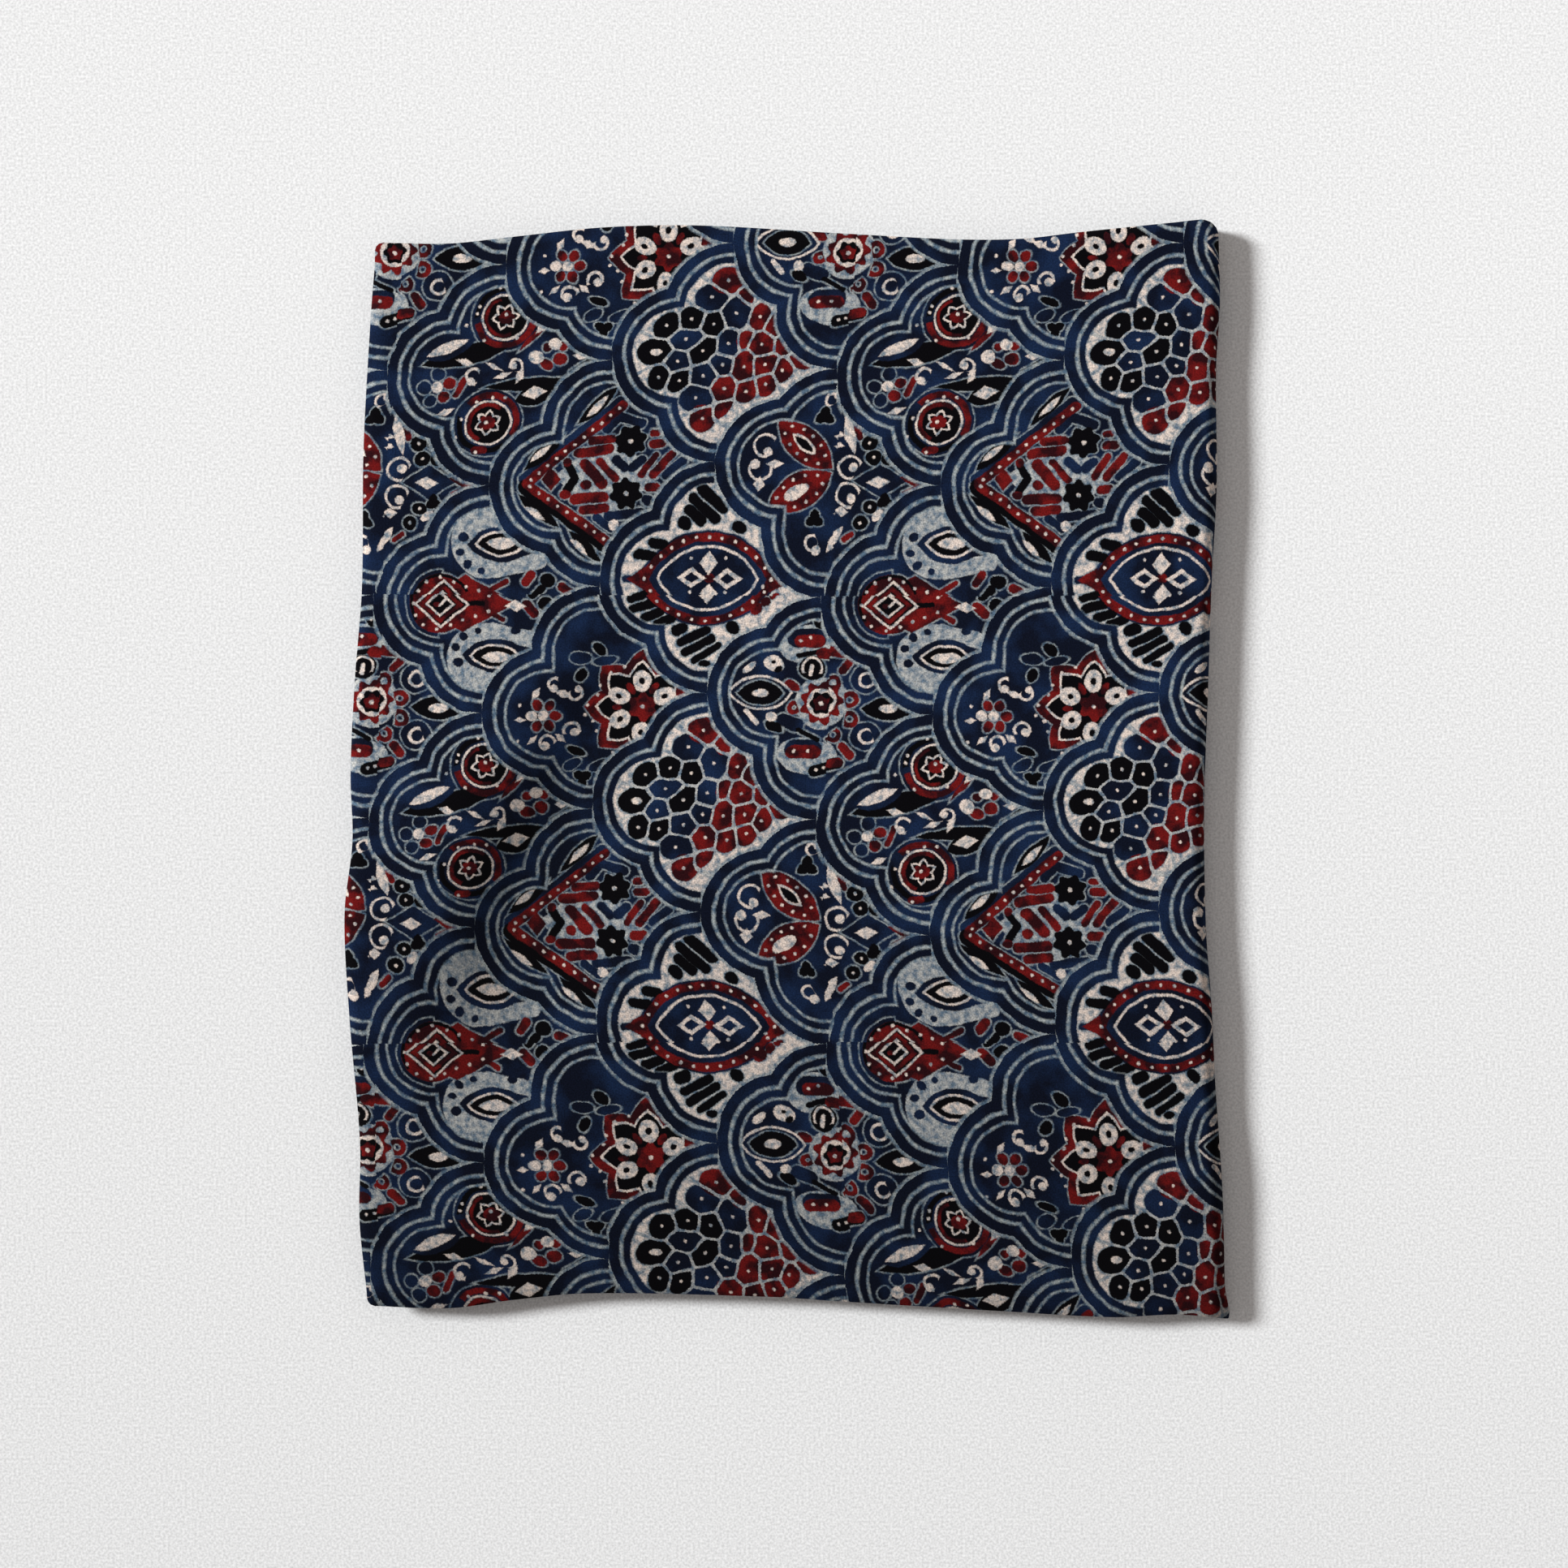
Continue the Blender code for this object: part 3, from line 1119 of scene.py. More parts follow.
CHEVRON = Medallion.of(
    "chevron",
    3,
    ground=[kite(37.5, 3, 17, 14)],
    blue=[
        bar(25.8, 14.3, 21, 2.5, 42), bar(41.6, 7.2, 3.4, 1.5, -42), bar(46.8, 7.2, 3.4, 1.5, 42),
        bar(58.8, 6, 4.8, 1.5, 42), bar(50.4, -4.6, 2, 1.7), bar(43, 21.6, 5.6, 1.6, -18),
        bar(37.3, 20, 3.4, 1.6, 52), bar(43.2, -8.8, 6.6, 1.5, 6), bar(36.4, -11.2, 4, 1.3, -35),
    ],
    black=[
        leaf(17.1, 11, 8.6, 2.2, 45), leaf(32.3, 26.2, 8.6, 2.1, 48),
        leaf(15.9, -7.8, 8.4, 1.9, -38), leaf(31, -18.4, 7, 1.8, -42),
        bar(24.2, -9, 17.6, 2.5, -34), bar(26, 4.8, 3.6, 1.3, -55), bar(26.2, 0.6, 3.6, 1.3, 55),
        flower(44.1, 14.6, 5.4, 1.2, 20, dot=0.7, points=7),
        flower(43.6, -2.4, 5.3, 1.2, 40, dot=0.7, points=7),
    ],
    red=[
        kite(19.8, 2.2, 3.2, 3.8), ball(24.6, 7.6, 1.5), ball(30.8, 0.4, 1.8, 1.6),
        ball(24.3, -2.6, 1.8, 1.3), bar(34.9, 14.9, 4.6, 1.5, 5), bar(32.8, 11.2, 6.4, 1.7, 8),
        bar(33.2, 3.9, 6, 1.8, -48), bar(37.6, 5.2, 5, 1.3, -48), bar(32, -3.7, 6.4, 1.7, 3),
        bar(33.4, -7.2, 5, 1.5, 5), bar(50.4, 6.8, 5, 1.2, 58), bar(54.9, 7, 5.8, 1.4, 52),
        bar(52.8, 13.8, 2.8, 1.5), bar(51.7, 17.4, 1.9, 1.2), bar(52, -0.4, 2.8, 1.5, 5),
    ],
    pale=[
        leaf(15.9, 10.6, 4, 1, 42), leaf(32.2, 26, 4.6, 1.1, 48), leaf(14.6, -8.4, 3.8, 1, -35),
        leaf(29, -18.6, 3.6, 0.9, -40), ball(39.8, -11.9, 1.6),
    ],
    top_red=[
        bar(26.4, 13.6, 20.4, 1.5, 42, dot=0.5, beads=3.5),
        bar(24.8, -8.2, 16.8, 1.5, -34, dot=0.5, beads=3.6),
    ],
)

CELLS = Medallion.of(
    "cells",
    4,
    open_ground=True,
    packed=True,
    ground=[ball(36, 0, 34)],
    blue=[
        cell(23, 4, 5.5, 3.3, 5), cell(20.6, -3, 4.2, 3.4), cell(36.6, 2.7, 5.5, 3.6, 80),
        cell(35, -4, 3.8, 4), cell(29, -7.6, 4.8, 4.1), cell(27, -14.9, 5.4, 4.5),
        cell(38.2, 12.4, 5.5, 4.6, 90), cell(29.8, 17.8, 5.2, 4.6),
    ],
    black=[
        cell(16.6, 8.5, 4.8, 3.7, 50), cell(24.3, 10.8, 4.1, 4), cell(31.3, 9.2, 4.1),
        ball(13.4, 0.1, 5.7, 4.2, 18), cell(28.8, 0.4, 5.5, 3.5, 45),
        cell(14.7, -8.4, 4.2, 3.4, 80), cell(21.3, -9, 4.6, 3.2, 48),
    ],
    red=[
        cell(34.4, 23.2, 5.1, 4.4), cell(45.8, 11.6, 4.6, 3.2, 85), cell(51.3, 8.6, 4, 3.9),
        cell(47.4, 2.6, 4.4, 4.3), ball(41.8, 4, 3.3, 2.5, 60), cell(54.6, 2.8, 3.8, 4),
        cell(60.2, -2.1, 4.4, 3.2), cell(41.7, -4.8, 5.3, 4, 70), cell(48.5, -4, 4.8, 3.9, 30),
        cell(54, -5.8, 4.2, 3.2, 65), cell(35.9, -11.6, 4.3, 4.7), cell(42.8, -12.4, 4.2, 3.7, 50),
        cell(49, -10.4, 4, 3.4, 65), cell(29.8, -21.6, 4.3, 4.6), ball(35.6, -18.4, 4.4, 2.3, 50),
        ball(40.6, 18.2, 3.1, 2.3, -65),
    ],
    pale=[ball(14, 0.1, 1.7, 1.1)],
)

EYE = Medallion.of(
    "eye",
    5,
    open_ground=True,
    ground=[ball(36, 0, 34)],
    blue=[bar(9.8, 0.3, 2.6, 1.1), leaf(34.6, 0.3, 22.6, 14.6)],
    black=[
        bar(14.4, 7.3, 3.9, 1.6, -8), bar(18.4, 10.8, 3.4, 1.7, -10),
        ball(26.5, 16.9, 2.5, 2.1, -40), bar(29.9, 19.4, 4.2, 1.8, -40),
        bar(32.6, 21.4, 6.6, 1.7, -42), bar(35.3, 24.4, 6.2, 1.9, -42),
        ball(43.9, 15.6, 2.3, 1.9, -30), bar(12.8, -5.2, 3.3, 1.5, 15),
        bar(14.8, -8.1, 4.6, 1.5, 17), bar(17.9, -10.9, 4, 1.6, 20), bar(21.8, -12.9, 4, 1.5, 22),
        bar(26.6, -15.4, 2.9, 1.9, 20), bar(31, -17.7, 6, 1.5, 27), bar(32.6, -20.6, 6.2, 1.4, 30),
        bar(35.2, -22.9, 5.6, 1.2, 33), ball(34.9, -26.3, 1.8, 1.2),
        ball(43.6, -14.8, 2.3, 1.9, -50),
    ],
    red=[
        kite(53, 0.3, 8.5, 4.6, 0, 1.5), kite(16, 0.3, 7.5, 4.6, 180, 1.5),
        ball(51.1, -8.5, 2.2, 1.8, 40), ball(54.1, -6.4, 1.8, 1.4, 40),
        ball(56.4, -4.6, 1.2, 1, 40),
    ],
    top_red=[leaf(34.6, 0.3, 21.8, 14, band=2.6, dot=0.5, beads=4.2), ball(35, 0.8, 1.6, 1.4)],
    top_pale=[
        leaf(34.6, 0.5, 16.4, 10, band=0.8), kite(34.6, 5.3, 2.8, 3.5), kite(35.1, -4.1, 2.8, 3.2),
        kite(29.4, 0.8, 4.6, 3.2, band=1.2), kite(40.9, 0.6, 4.8, 3.2, band=1.2),
        *dots(29, 6.6, 40.2, 6.6, 28.9, -3.4, 40.4, -3.6, 52.2, -1.8),
    ],
)

SUNBURST = Medallion.of(
    "sunburst",
    6,
    ground=[ball(31.6, 15.6, 8.6, 6, 10), ball(32, -20.4, 9.6, 6, -10), ball(36.3, -3.2, 8.4)],
    blue=[
        bar(31.6, 17.6, 6.2, 3), bar(31, -18, 6, 3), bar(26.3, -9.4, 4.6, 2.2, -20),
        ball(50.2, 3.6, 4.6), ball(50.4, -14.6, 4.8, 4.6),
    ],
    black=[
        leaf(16.9, 0, 7.4, 3.9), ball(21.2, -10.7, 3, 1.6, -30), bar(38.4, -24.4, 5.6, 2, 13),
        cell(35.1, 23.2, 2.8, 1.7, -70), bar(33, 12.8, 5, 0.9, 12), ball(33.3, 8, 4.2, 4),
        bar(32.4, -13.4, 4.4, 0.8, -28), leaf(57.5, -5.8, 8.8, 3.7),
    ],
    red=[
        bar(32.4, 16.6, 4.9, 2), bar(31, -19.1, 5.6, 2.1), bar(40, 12.4, 5.6, 1.7, -6),
        flower(36.3, -3.2, 7.2, 1.6, points=9), ball(40, 2.4, 2.9, 2.7, 60, -1.4, 1.6),
        ball(45.2, -2.9, 2.9, 2.7, 10, -1.5, 1.7), ball(45.2, -9.2, 2.9, 2.7, -10, -1.5, 1.7),
        ball(40.2, -14.2, 2.7, 2.5, -50, -1.2, 1.6), ball(27.6, -4.6, 2.5, 2.1, 200, -1.2, 1.6),
        ball(27, 2.4, 2.7, 1.5, -25), bar(44, 7.9, 3.1, 1.3, 52), bar(44.4, -19.4, 3.4, 1.5, -50),
    ],
    pale=[
        ball(17, 0.1, 2.6, 1.4), leaf(16.9, 0, 10.4, 5.6, band=0.7), ball(21.3, 9.4, 3.4, 2.4, -20),
        ball(13.4, 8, 2.6, 1.1, 40), ball(20.6, -7.5, 1.7, 1.5), bar(14, -7.8, 3.2, 0.8, -48),
        ball(36.3, -3.2, 4.7), ball(50.6, 3.4, 2.9, 2.7, 200, -1.6, 0.9),
        ball(50.8, -14.8, 2.9, 2.7, 200, -1.6, 0.9), ball(57.5, -5.8, 3, 1.4),
    ],
    top_black=[
        ball(21, 9.9, 0.8, 0.6), ball(22.6, 7.6, 1.4, 1, 30),
        flower(36.3, -3.2, 3.9, 0.8, points=6),
    ],
    top_red=[bar(41, -23.6, 2.8, 1.6, 13), flower(36.3, -3.2, 2.6, 0.6, 20, dot=0.7, points=5)],
    top_pale=[
        ball(33.3, 8, 3.6, 3.4, 90, -1.6, 0.7), bar(33, 7.2, 2, 0.7, 80),
        *dots(29.4, 16.8, 32.6, 17.6, 28.1, -18.8, 32.4, -18.9, 35.2, -24.9, 37.6, -24.3),
    ],
)

LEAVES = Medallion.of(
    "leaves",
    7,
    blue=[kite(52, -6.5, 8.6, 5.4)],
    black=[
        star(32.9, 15.3, 3.5, 1.5, 90, points=3), star(31.6, -17.6, 3.1, 1.4, 90, points=3),
        cell(48, 5.8, 2.7, 2.5), ball(53, 5.8, 2.4, 2.2), cell(49.6, 0.9, 2.6, 2.5),
        cell(54.7, 0.9, 2.6, 2.5), cell(49, -14.8, 2.4, 2), star(53.5, -13, 2.8, 1, 90, points=3),
        cell(46, -19.4, 2.4, 2.2),
    ],
    red=[
        leaf(27.6, 5.8, 12, 5.4, -40, band=3.3, dot=0.5, beads=3.9), leaf(27.6, 5.8, 8, 3, -40),
        leaf(26.8, -9.1, 11.4, 5.6, 30, band=3.3, dot=0.5, beads=3.9), leaf(26.8, -9.1, 8, 3, 30),
        bar(56.4, 4.6, 2.4, 0.8, -55), kite(62.6, -5.2, 4.4, 3), bar(43.9, 9.3, 3, 1, -68),
        bar(54.6, -19, 2.3, 1.5, 60), bar(42.3, -23.8, 2.4, 0.9, 35), bar(62.4, -9, 3.8, 0.8, 28),
    ],
    pale=[
        ball(25.6, -9.5, 4.3, 2, 32), ball(15.2, 5.4, 4, 4, 160, -2, 0.8), ball(16.2, 3.4, 1.5),
        ball(14.2, -2.4, 3.9, 3.9, -90, -2.2, 0.8), ball(12.3, -0.6, 1.6),
        kite(18.7, -0.4, 2.8, 1.5), kite(13.8, -7.2, 2.4, 2, 80),
        ball(34.6, 20.6, 2.4, 2.4, 120, -1.4, 0.8), ball(36.2, 22, 1.3),
        ball(31.2, -24.6, 2.6, 2.6, 200, -1.6, 0.8), ball(32.4, -26.8, 1.5),
        leaf(41.4, 8.6, 6.8, 1.6, -72), kite(38.4, 8.4, 1.6, 0.9, -15),
        kite(38.6, 5, 1.6, 0.9, -15), ball(42.3, -2.3, 4, 4, 150, -2.6, 0.8),
        ball(43.3, -2.2, 1.5, 1.4), ball(42, -11.1, 4, 4, 150, -2.6, 0.8), ball(42.8, -12.3, 1.4),
        kite(51.4, -6.9, 3.6, 2), ball(51.4, -17.2, 2.2, 1.3, 40), leaf(38.2, -24, 4.2, 1.3, 55),
        kite(39.6, -16.2, 2.2, 1.6),
    ],
    top_black=[leaf(27.4, 6, 4, 1.4, -40)],
    top_pale=[leaf(27.4, 6, 5.2, 2, -40, band=0.7)],
)

MEDALLIONS = (PAISLEYS, BULB, ROSETTE, CHEVRON, CELLS, EYE, SUNBURST, LEAVES)


@dataclass(frozen=True)
class Scale:
    """Where a place on the cloth lies in the medallion that shows there."""

    right: Wire
    up: Wire
    depth: Wire
    row: Wire


@dataclass(frozen=True)
class Lattice:
    """The net of medallion tips, in millimetres. Columns stand side by side, every second one drops
    by half a row, and each pair of columns is printed a little higher than the pair before."""

    column: float = 35.72
    row: float = 71.45
    columns: float = 4.0
    pair_rise: float = 7.5
    lean: float = 5.1
    head: float = 21.1
    shoulder: float = 20.6

    def scale_at(self, x: Wire, y: Wire, column: Wire) -> Scale:
        """Where a place lies in the medallion of one column.

        Args:
            x: the place to the right, from a tip of the first column.
            y: the place up, from the same tip.
            column: the column's number.

        Returns:
            The place from the medallion's tip, its depth inside the outline, and the row's number.
        """
        quarter = column * (math.pi / 2)
        lean = quarter.math("SINE") * self.lean
        half = self.pair_rise / 2
        swing = (quarter - math.pi / 4).math("COSINE")
        rise = swing.math("MULTIPLY_ADD", -half * math.sqrt(2), half)
        dropped = column.math("PINGPONG", 1.0).math("MULTIPLY_ADD", self.row / 2, rise)
        height = y - dropped - lean
        row = height.math("MULTIPLY_ADD", 1 / self.row, 0.5).math("FLOOR")
        leaned = height - row * self.row
        up = leaned + lean
        right = x - column * self.column
        in_head = self.head - (right - self.head).joined(up).vector("LENGTH")
        aside = (right - self.column).math("MINIMUM", 0.0)
        above = (abs(leaned) - (self.row / 2 - self.shoulder)).math("MAXIMUM", 0.0)
        in_shoulder = self.shoulder - aside.joined(above).vector("LENGTH")
        return Scale(right, up, in_head.math("MAXIMUM", in_shoulder), row)


@dataclass(frozen=True)
class Dye:
    """A dye that takes unevenly: its colour, the one that it varies to, and how a random field is
    scaled and raised to share them out."""

    colour: tuple
    varied: tuple
    gain: float
    lift: float

    def at(self, random: Wire) -> Wire:
        """The dye's colour where the random field has this value."""
        share = random.math("MULTIPLY_ADD", self.gain, self.lift, clamp=True)
        return share.blend(self.colour, self.varied)


@dataclass(frozen=True)
class Dyes:
    """The colours of the print at a place."""

    blue: Wire
    red: Wire
    bare: Wire
    line: Wire
    black: tuple

    def wires(self) -> dict[str, Wire]:
        """Those that vary over the cloth, by name."""
        return {"Blue": self.blue, "Red": self.red, "Bare": self.bare, "Line": self.line}

    def of(self, ink: Ink) -> Colour:
        """The colour that a mark of this ink has."""
        dyed = {"BLUE": self.blue, "BLACK": self.black, "RED": self.red}
        return dyed.get(ink.name.removeprefix("TOP_"), self.bare)


@dataclass(frozen=True)
class Twill:
    """The fine weave, in millimetres: its ribs, the threads that cross them, and its relief."""

    rib: float = 0.42
    rib_height: float = 0.5
    pick_ratio: float = 1.3
    pick_slope: float = 0.4
    pick_height: float = 0.3
    strength: float = 0.25
    relief: float = 0.05

    def build(self, spot: Wire) -> Wire:
        """Makes the weave's normal.

        Args:
            spot: the place on the flat cloth, in millimetres.

        Returns:
            The normal for a shader.
        """
        x, y = spot.parts()
        ribs = 2 * math.pi / self.rib
        rib = ((x + y) * ribs).math("SINE")
        pick = ((x - y * self.pick_slope) * (ribs * self.pick_ratio)).math("SINE")
        height = rib * self.rib_height + pick * self.pick_height
        inputs = {"Strength": self.strength, "Distance": self.relief * MM, "Height": height}
        return spot.shop.node("ShaderNodeBump", inputs=inputs)


@dataclass(frozen=True)
class BlockPrint:
    """The finish of the cloth: resist lines, madder and black, dyed over in indigo.

    Sizes are millimetres. Each random field is given by how many spots come to a millimetre and how
    many finer layers it has. The border's steps are the depths where indigo gives way to a pale
    line, to indigo again and to a second line, which ends where the fill begins. An edge line runs
    round the outside of a medallion. Painted shade darkens the colours towards the bottom of the
    packet, and in the hollow of the long crease, whose rise here is a share of the light."""

    blue: Dye = Dye(paint(12, 17, 32), paint(22, 38, 67), 3.6, -1.5)
    red: Dye = Dye(paint(106, 20, 20), paint(42, 11, 16), 4.5, -1.7)
    bare: Dye = Dye(paint(220, 203, 191), paint(118, 131, 141), 3.2, -1.3)
    line: Dye = Dye(paint(162, 168, 167), paint(82, 103, 122), 3.0, -1.0)
    black: tuple = paint(6, 5, 8)
    tinge: tuple = (0.5, 5.0)
    bath: tuple = (0.07, 5.0)
    patch: tuple = (0.16, 3.0)
    yarn: tuple = (2.1, 1.0)
    yarn_shade: tuple = (1.3, 0.35)
    first_tip: tuple = (-128.1145, 123.7455)
    lattice: Lattice = Lattice()
    block_join: tuple = (2.6, -69.0)
    join_step: float = 0.9
    wobble: float = 1.0
    wobble_field: tuple = (0.17, 1.0)
    ragged: float = 0.5
    ragged_field: tuple = (1.7, 1.0)
    border_steps: tuple = (3.3, 4.4, 6.7)
    border: float = 7.5
    open_border: float = 6.8
    edge_line: float = 1.0
    edge_share: float = 0.85
    closed_ground: float = 0.2
    outline: float = 0.38
    gap: float = 0.8
    gap_bare: float = 0.25
    soft: float = 0.17
    feather: float = 0.31
    # painted shade: the colours darken towards the bottom of the packet
    painted_shade_down_packet: tuple = (0.0024, 0.96)
    lightest: float = 0.97
    # painted shade in the hollow of the long crease: its place, size and turn, and the share of
    # light it takes away
    hollow_painted_shade: Swell = Swell(-81, -36, 88, 27, 69, -0.8)
    hollow_painted_shade_core: tuple = (0.6, 0.3)
    twill: Twill = Twill()
    roughness: float = 0.92
    gloss: float = 0.05

    def build(self) -> bpy.types.Material:
        """Makes the printed cotton.

        Returns:
            The material, in which each medallion has a shader of its own.
        """
        material = bpy.data.materials.new("printed_cotton")
        material.use_nodes = True
        tree = material.node_tree
        tree.nodes.remove(tree.nodes["Principled BSDF"])
        shop = NodeShop(tree)
        place = shop.node("ShaderNodeAttribute", {"attribute_name": "cloth_place"}, output=1)
        spot = place.vector("MULTIPLY", (1 / MM, 1 / MM, 0.0))
        dyes = self.dyes(spot)
        first, scale, number = self.scales(spot)
        ring = self.ring(scale.depth, dyes)
        beyond = first.depth.math("LESS_THAN", 0.0) * self.bleed(-self.edge_line - first.depth)
        edge_line = beyond * self.edge_share
        # yarn specks, with painted shade towards the bottom of the packet and in the crease's
        # hollow
        specks_and_painted_shade = self.specks_and_painted_shade(spot)
        normal = self.twill.build(spot)
        place_in = scale.right.joined(scale.up)
        shown = None
        for medallion in MEDALLIONS:
            sent = {"Place": place_in.vector("ADD", medallion.shift()), **dyes.wires()}
            colour = shop.grouped(medallion.name, sent, functools.partial(self.filled, medallion))
            border = self.open_border if medallion.open_ground else self.border
            colour = self.bleed(scale.depth - border).blend(colour, ring)
            colour = edge_line.blend(colour, dyes.line)
            shader = self.shader(colour.tinted(specks_and_painted_shade), normal)
            if shown is None:
                shown = shader
            else:
                here = number.math("COMPARE", float(medallion.number), 0.5)
                shown = shop.node("ShaderNodeMixShader", inputs={0: here, 1: shown, 2: shader})
        shop.feed(tree.nodes["Material Output"].inputs["Surface"], shown)
        return material

    def shader(self, colour: Wire, normal: Wire) -> Wire:
        """Matt cotton of one colour."""
        inputs = {
            "Base Color": colour,
            "Roughness": self.roughness,
            "Specular IOR Level": self.gloss,
            "Normal": normal,
        }
        return colour.shop.node("ShaderNodeBsdfPrincipled", inputs=inputs)

    def cover(self, distance: Wire) -> Wire:
        """How much of a place lies inside a mark."""
        return distance.math("MULTIPLY_ADD", -0.5 / self.soft, 0.5, clamp=True)

    def bleed(self, distance: Wire, spread: float = 0.0) -> Wire:
        """How much of a place lies inside a resist line, into which the indigo has crept."""
        lift = 0.5 + spread / 2 / self.feather
        return distance.math("MULTIPLY_ADD", -0.5 / self.feather, lift, clamp=True)

    def dyes(self, spot: Wire) -> Dyes:
        """The colours of the print, which vary over the cloth.

        Args:
            spot: the place on the flat cloth, in millimetres.

        Returns:
            The colours there.
        """
        tinge = spot.cloud(*self.tinge)
        blue, red = self.blue.at(spot.cloud(*self.bath)), self.red.at(spot.cloud(*self.patch))
        return Dyes(blue, red, self.bare.at(tinge), self.line.at(tinge), self.black)

    def specks_and_painted_shade(self, spot: Wire) -> Wire:
        """The specks of the yarns, and painted shade down the packet and in the crease's hollow.

        Args:
            spot: the place on the flat cloth, in millimetres.

        Returns:
            A grey of yarn specks and painted shade, to tint the colours with.
        """
        _, y = spot.parts()
        # painted shade: darker towards the bottom of the packet, and never lighter than the
        # lightest share
        light = y.math("MULTIPLY_ADD", *self.painted_shade_down_packet).math("MINIMUM", self.lightest)
        # painted shade: the colours darken in the hollow of the crease, most along its middle
        hollow = self.hollow_painted_shade
        along, across = spot.vector("SUBTRACT", (hollow.x, hollow.y, 0.0)).parts(hollow.turn)
        shares = (along * (1 / hollow.along)).joined(across * (1 / hollow.across))
        inside = (1.0 - shares.vector("LENGTH")).math("MAXIMUM", 0.0)
        light = light * (1.0 + inside.math("SMOOTH_MIN", *self.hollow_painted_shade_core) * hollow.rise)
        return spot.cloud(*self.yarn).math("MULTIPLY_ADD", *self.yarn_shade) * light

    def scales(self, spot: Wire) -> tuple[Scale, Scale, Wire]:
        """Where a place lies in the lattice of medallions.

        Args:
            spot: the place on the flat cloth, in millimetres.

        Returns:
            Its place in the next column's medallion, in the one that shows there, and the number of
            the latter.
        """
        lattice = self.lattice
        moved = spot
        for reach, random in ((self.wobble, self.wobble_field), (self.ragged, self.ragged_field)):
            cloud = spot.cloud(*random, colour=True)
            moved = cloud.vector("MULTIPLY_ADD", (reach, reach, 0.0), moved)
        mean_move = (self.wobble + self.ragged) / 2
        origin = (self.first_tip[0] + mean_move, self.first_tip[1] + mean_move, 0.0)
        x, y = moved.vector("SUBTRACT", origin).parts()
        block = 2 * lattice.row
        jog = (x - self.block_join[0]).math("FLOORED_MODULO", block) * (self.join_step / block)
        slip = (y - self.block_join[1]).math("FLOORED_MODULO", block) * (self.join_step / block)
        x, y = x + slip - self.join_step / 2, y + jog - self.join_step / 2
        column = (x * (1 / lattice.column)).math("FLOOR")
        first = lattice.scale_at(x, y, column)
        column = column - first.depth.math("LESS_THAN", 0.0)
        scale = lattice.scale_at(x, y, column)
        column = column.math("FLOORED_MODULO", lattice.columns)
        return first, scale, column * 2.0 + scale.row.math("PINGPONG", 1.0)

    def filled(self, medallion: Medallion, sent: dict[str, Wire]) -> Wire:
        """The colour of a medallion's fill.

        Args:
            medallion: the medallion with its marks.
            sent: the place from its tip and the colours there.

        Returns:
            The colour of the topmost ink at the place.
        """
        dyes = Dyes(sent["Blue"], sent["Red"], sent["Bare"], sent["Line"], self.black)
        inks, gap = self.distances(medallion, sent["Place"])
        colour = dyes.blue
        if Ink.GROUND in inks:
            ground = dyes.bare
            if not medallion.open_ground:
                ground = dyes.line.toward(dyes.bare, self.closed_ground)
            colour = self.cover(inks.pop(Ink.GROUND)).blend(colour, ground)
        drawn = [inks[ink] for ink in DYED if ink in inks]
        nearest = functools.reduce(lambda first, second: first.math("MINIMUM", second), drawn)
        colour = self.bleed(nearest, self.outline).blend(colour, dyes.line)
        for ink in Ink:
            if ink in inks:
                colour = self.cover(inks[ink]).blend(colour, dyes.of(ink))
        if gap is None:
            return colour
        between = dyes.line.toward(dyes.bare, self.gap_bare)
        return self.cover(gap - self.gap).blend(colour, between)

    def distances(
        self, medallion: Medallion, place: Wire
    ) -> tuple[dict[Ink, Wire], Wire | None]:
        """How far a place is from the marks.

        Args:
            medallion: the medallion with its marks.
            place: the place from the medallion's tip.

        Returns:
            The distance from the nearest mark of each ink and, where the marks are packed like
            cells, how much farther the second nearest mark is than the nearest.
        """
        inks: dict[Ink, Wire] = {}
        nearest, second = None, None

        def add(ink: Ink, distance: Wire) -> None:
            inks[ink] = inks[ink].math("MINIMUM", distance) if ink in inks else distance

        frames: dict[tuple[bool, float], Wire] = {(False, 0.0): place}
        for mark in sorted(medallion.marks, key=lambda mark: (mark.mirrored, mark.turn)):
            frame = self.turned(frames, mark)
            shaped = mark.distance(frame)
            add(mark.ink, shaped)
            pale_dots = mark.pale_dots(frame, shaped)
            if pale_dots is not None:
                add(Ink.TOP_PALE, pale_dots)
            if medallion.packed and mark.ink in DYED:
                if nearest is not None:
                    farther = nearest.math("MAXIMUM", shaped)
                    second = farther if second is None else second.math("MINIMUM", farther)
                    shaped = nearest.math("MINIMUM", shaped)
                nearest = shaped
        return inks, None if second is None else second - nearest

    def turned(self, frames: dict[tuple[bool, float], Wire], mark: Mark) -> Wire:
        """The place in a mark's frame, which marks of the same turn share.

        Args:
            frames: the places in the frames made so far, by mirroring and turn, to which a new one
                is added.
            mark: the mark.

        Returns:
            The place in its turned frame.
        """
        if (mark.mirrored, 0.0) not in frames:
            frames[(True, 0.0)] = frames[(False, 0.0)].vector("ABSOLUTE")
        key = (mark.mirrored, float(mark.turn))
        if key not in frames:
            along, across = frames[(mark.mirrored, 0.0)].parts(mark.turn)
            frames[key] = along.joined(across)
        return frames[key]

    def ring(self, depth: Wire, dyes: Dyes) -> Wire:
        """The colour of the medallion's border.

        Args:
            depth: how far inside the outline the place lies.
            dyes: the colours there.

        Returns:
            The colour of the border at this depth.
        """
        outer, line, inner = self.border_steps
        colour = self.bleed(depth - inner).blend(dyes.line, dyes.blue)
        colour = self.bleed(depth - line).blend(colour, dyes.line)
        return self.bleed(depth - outer).blend(colour, dyes.blue)


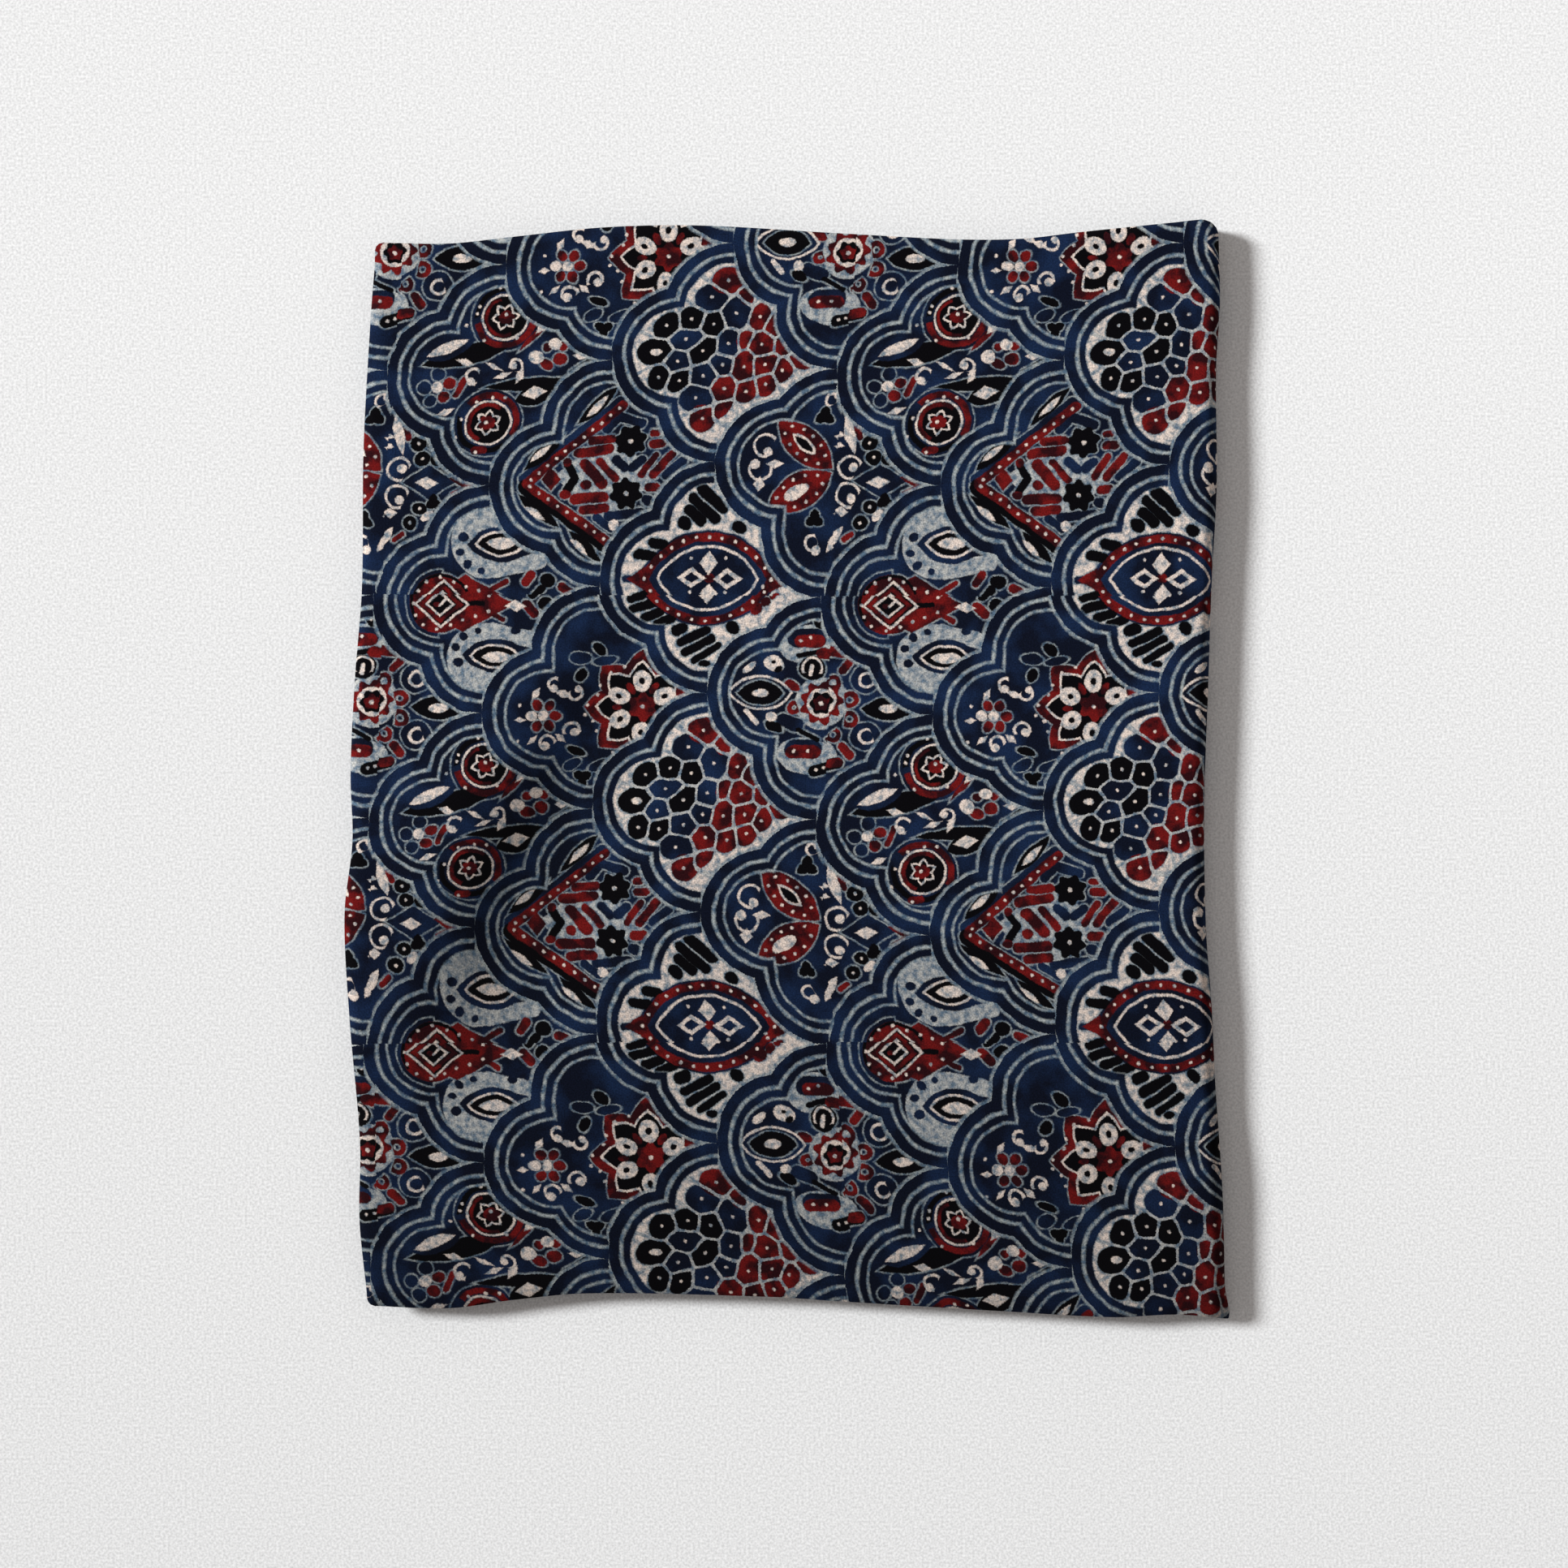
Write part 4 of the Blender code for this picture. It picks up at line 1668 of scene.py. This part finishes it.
@dataclass(frozen=True)
class PaleFloor:
    """The finish of the floor: pale grey with fine specks, and painted light that makes it lighter
    towards the picture's top.
    """

    # painted light: the floor's grey towards the picture's bottom and towards its top, and how it
    # rises between them
    near: tuple = (0.735, 0.735, 0.735, 1.0)
    far: tuple = (0.82, 0.82, 0.82, 1.0)
    slope: tuple = (2.4, 0.62)
    specks_per_metre: float = 1300.0
    speck_shade: tuple = (0.55, 0.725)
    roughness: float = 0.9
    gloss: float = 0.2

    def build(self) -> bpy.types.Material:
        """Makes the material.

        Returns:
            The floor's material.
        """
        material = bpy.data.materials.new("pale_floor")
        material.use_nodes = True
        shader = material.node_tree.nodes["Principled BSDF"]
        shop = NodeShop(material.node_tree)
        spot = shop.node("ShaderNodeNewGeometry")
        _, y = spot.parts()
        # painted light: the floor grows lighter towards the picture's top
        pale = y.math("MULTIPLY_ADD", *self.slope, clamp=True).blend(self.near, self.far)
        specks = spot.cloud(self.specks_per_metre).math("MULTIPLY_ADD", *self.speck_shade)
        shop.feed(shader.inputs["Base Color"], pale.tinted(specks))
        shop.feed(shader.inputs["Roughness"], self.roughness)
        shop.feed(shader.inputs["Specular IOR Level"], self.gloss)
        return material


@dataclass
class Studio:
    """The pale floor, the light and the camera over it."""

    floor_size: float = 6.0
    frame_width: float = 0.4965
    lens: float = 85.0
    sensor: float = 36.0
    nearest_seen: float = 0.01
    centre: tuple = (-0.9 * MM, -4.75 * MM)
    cloth_top: float = 10 * MM
    key_elevation: float = 29.0
    key_azimuth: float = 163.0
    key_spread: float = 12.0
    key_strength: float = 4.9
    key_colour: tuple = (0.97, 0.99, 1.0)
    room_strength: float = 0.325
    room_colour: tuple = (1.0, 0.94, 0.91, 1.0)

    def build(self) -> None:
        """Makes the floor, both lights and the camera."""
        self.floor()
        self.key_light()
        self.room_light()
        self.camera()

    def floor(self) -> None:
        """A plain pale floor."""
        bpy.ops.mesh.primitive_plane_add(size=self.floor_size)
        floor = bpy.context.object
        floor.name = floor.data.name = "studio_floor"
        floor.data.materials.append(PaleFloor().build())

    def key_light(self) -> None:
        """Soft light from the left, a little from the top of the picture."""
        light = bpy.data.lights.new("key", "SUN")
        light.angle = math.radians(self.key_spread)
        light.energy = self.key_strength
        light.color = self.key_colour
        lamp = bpy.data.objects.new("key", light)
        elevation, azimuth = math.radians(self.key_elevation), math.radians(self.key_azimuth)
        away = Vector((math.cos(azimuth), math.sin(azimuth), math.tan(elevation)))
        lamp.location = away
        lamp.rotation_euler = away.to_track_quat("Z", "Y").to_euler()
        bpy.context.scene.collection.objects.link(lamp)

    def room_light(self) -> None:
        """The even light of the room."""
        world = bpy.data.worlds.new("room")
        world.use_nodes = True
        background = world.node_tree.nodes["Background"]
        background.inputs["Color"].default_value = self.room_colour
        background.inputs["Strength"].default_value = self.room_strength
        bpy.context.scene.world = world

    def camera(self) -> None:
        """A camera straight above the cloth."""
        data = bpy.data.cameras.new("camera")
        data.lens = self.lens
        data.sensor_width = self.sensor
        data.clip_start = self.nearest_seen
        camera = bpy.data.objects.new("camera", data)
        height = self.frame_width * self.lens / self.sensor
        camera.location = (*self.centre, self.cloth_top + height)
        bpy.context.scene.collection.objects.link(camera)
        bpy.context.scene.camera = camera


def main() -> None:
    """Builds the studio, then the cloth and its print."""
    logging.basicConfig(level=logging.INFO, format="%(message)s")
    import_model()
    bpy.context.scene.view_settings.view_transform = "Standard"
    Studio().build()

    maker = FoldedSheet()
    sheet = maker.build()
    sheet.data.materials.append(BlockPrint().build())
    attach(sheet, "root")
    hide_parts("folded_cloth")
    LOG.info("%s: %d faces, cut %.3f m wide", sheet.name, len(sheet.data.polygons), maker.cut_width)


if __name__ == "__main__":
    main()
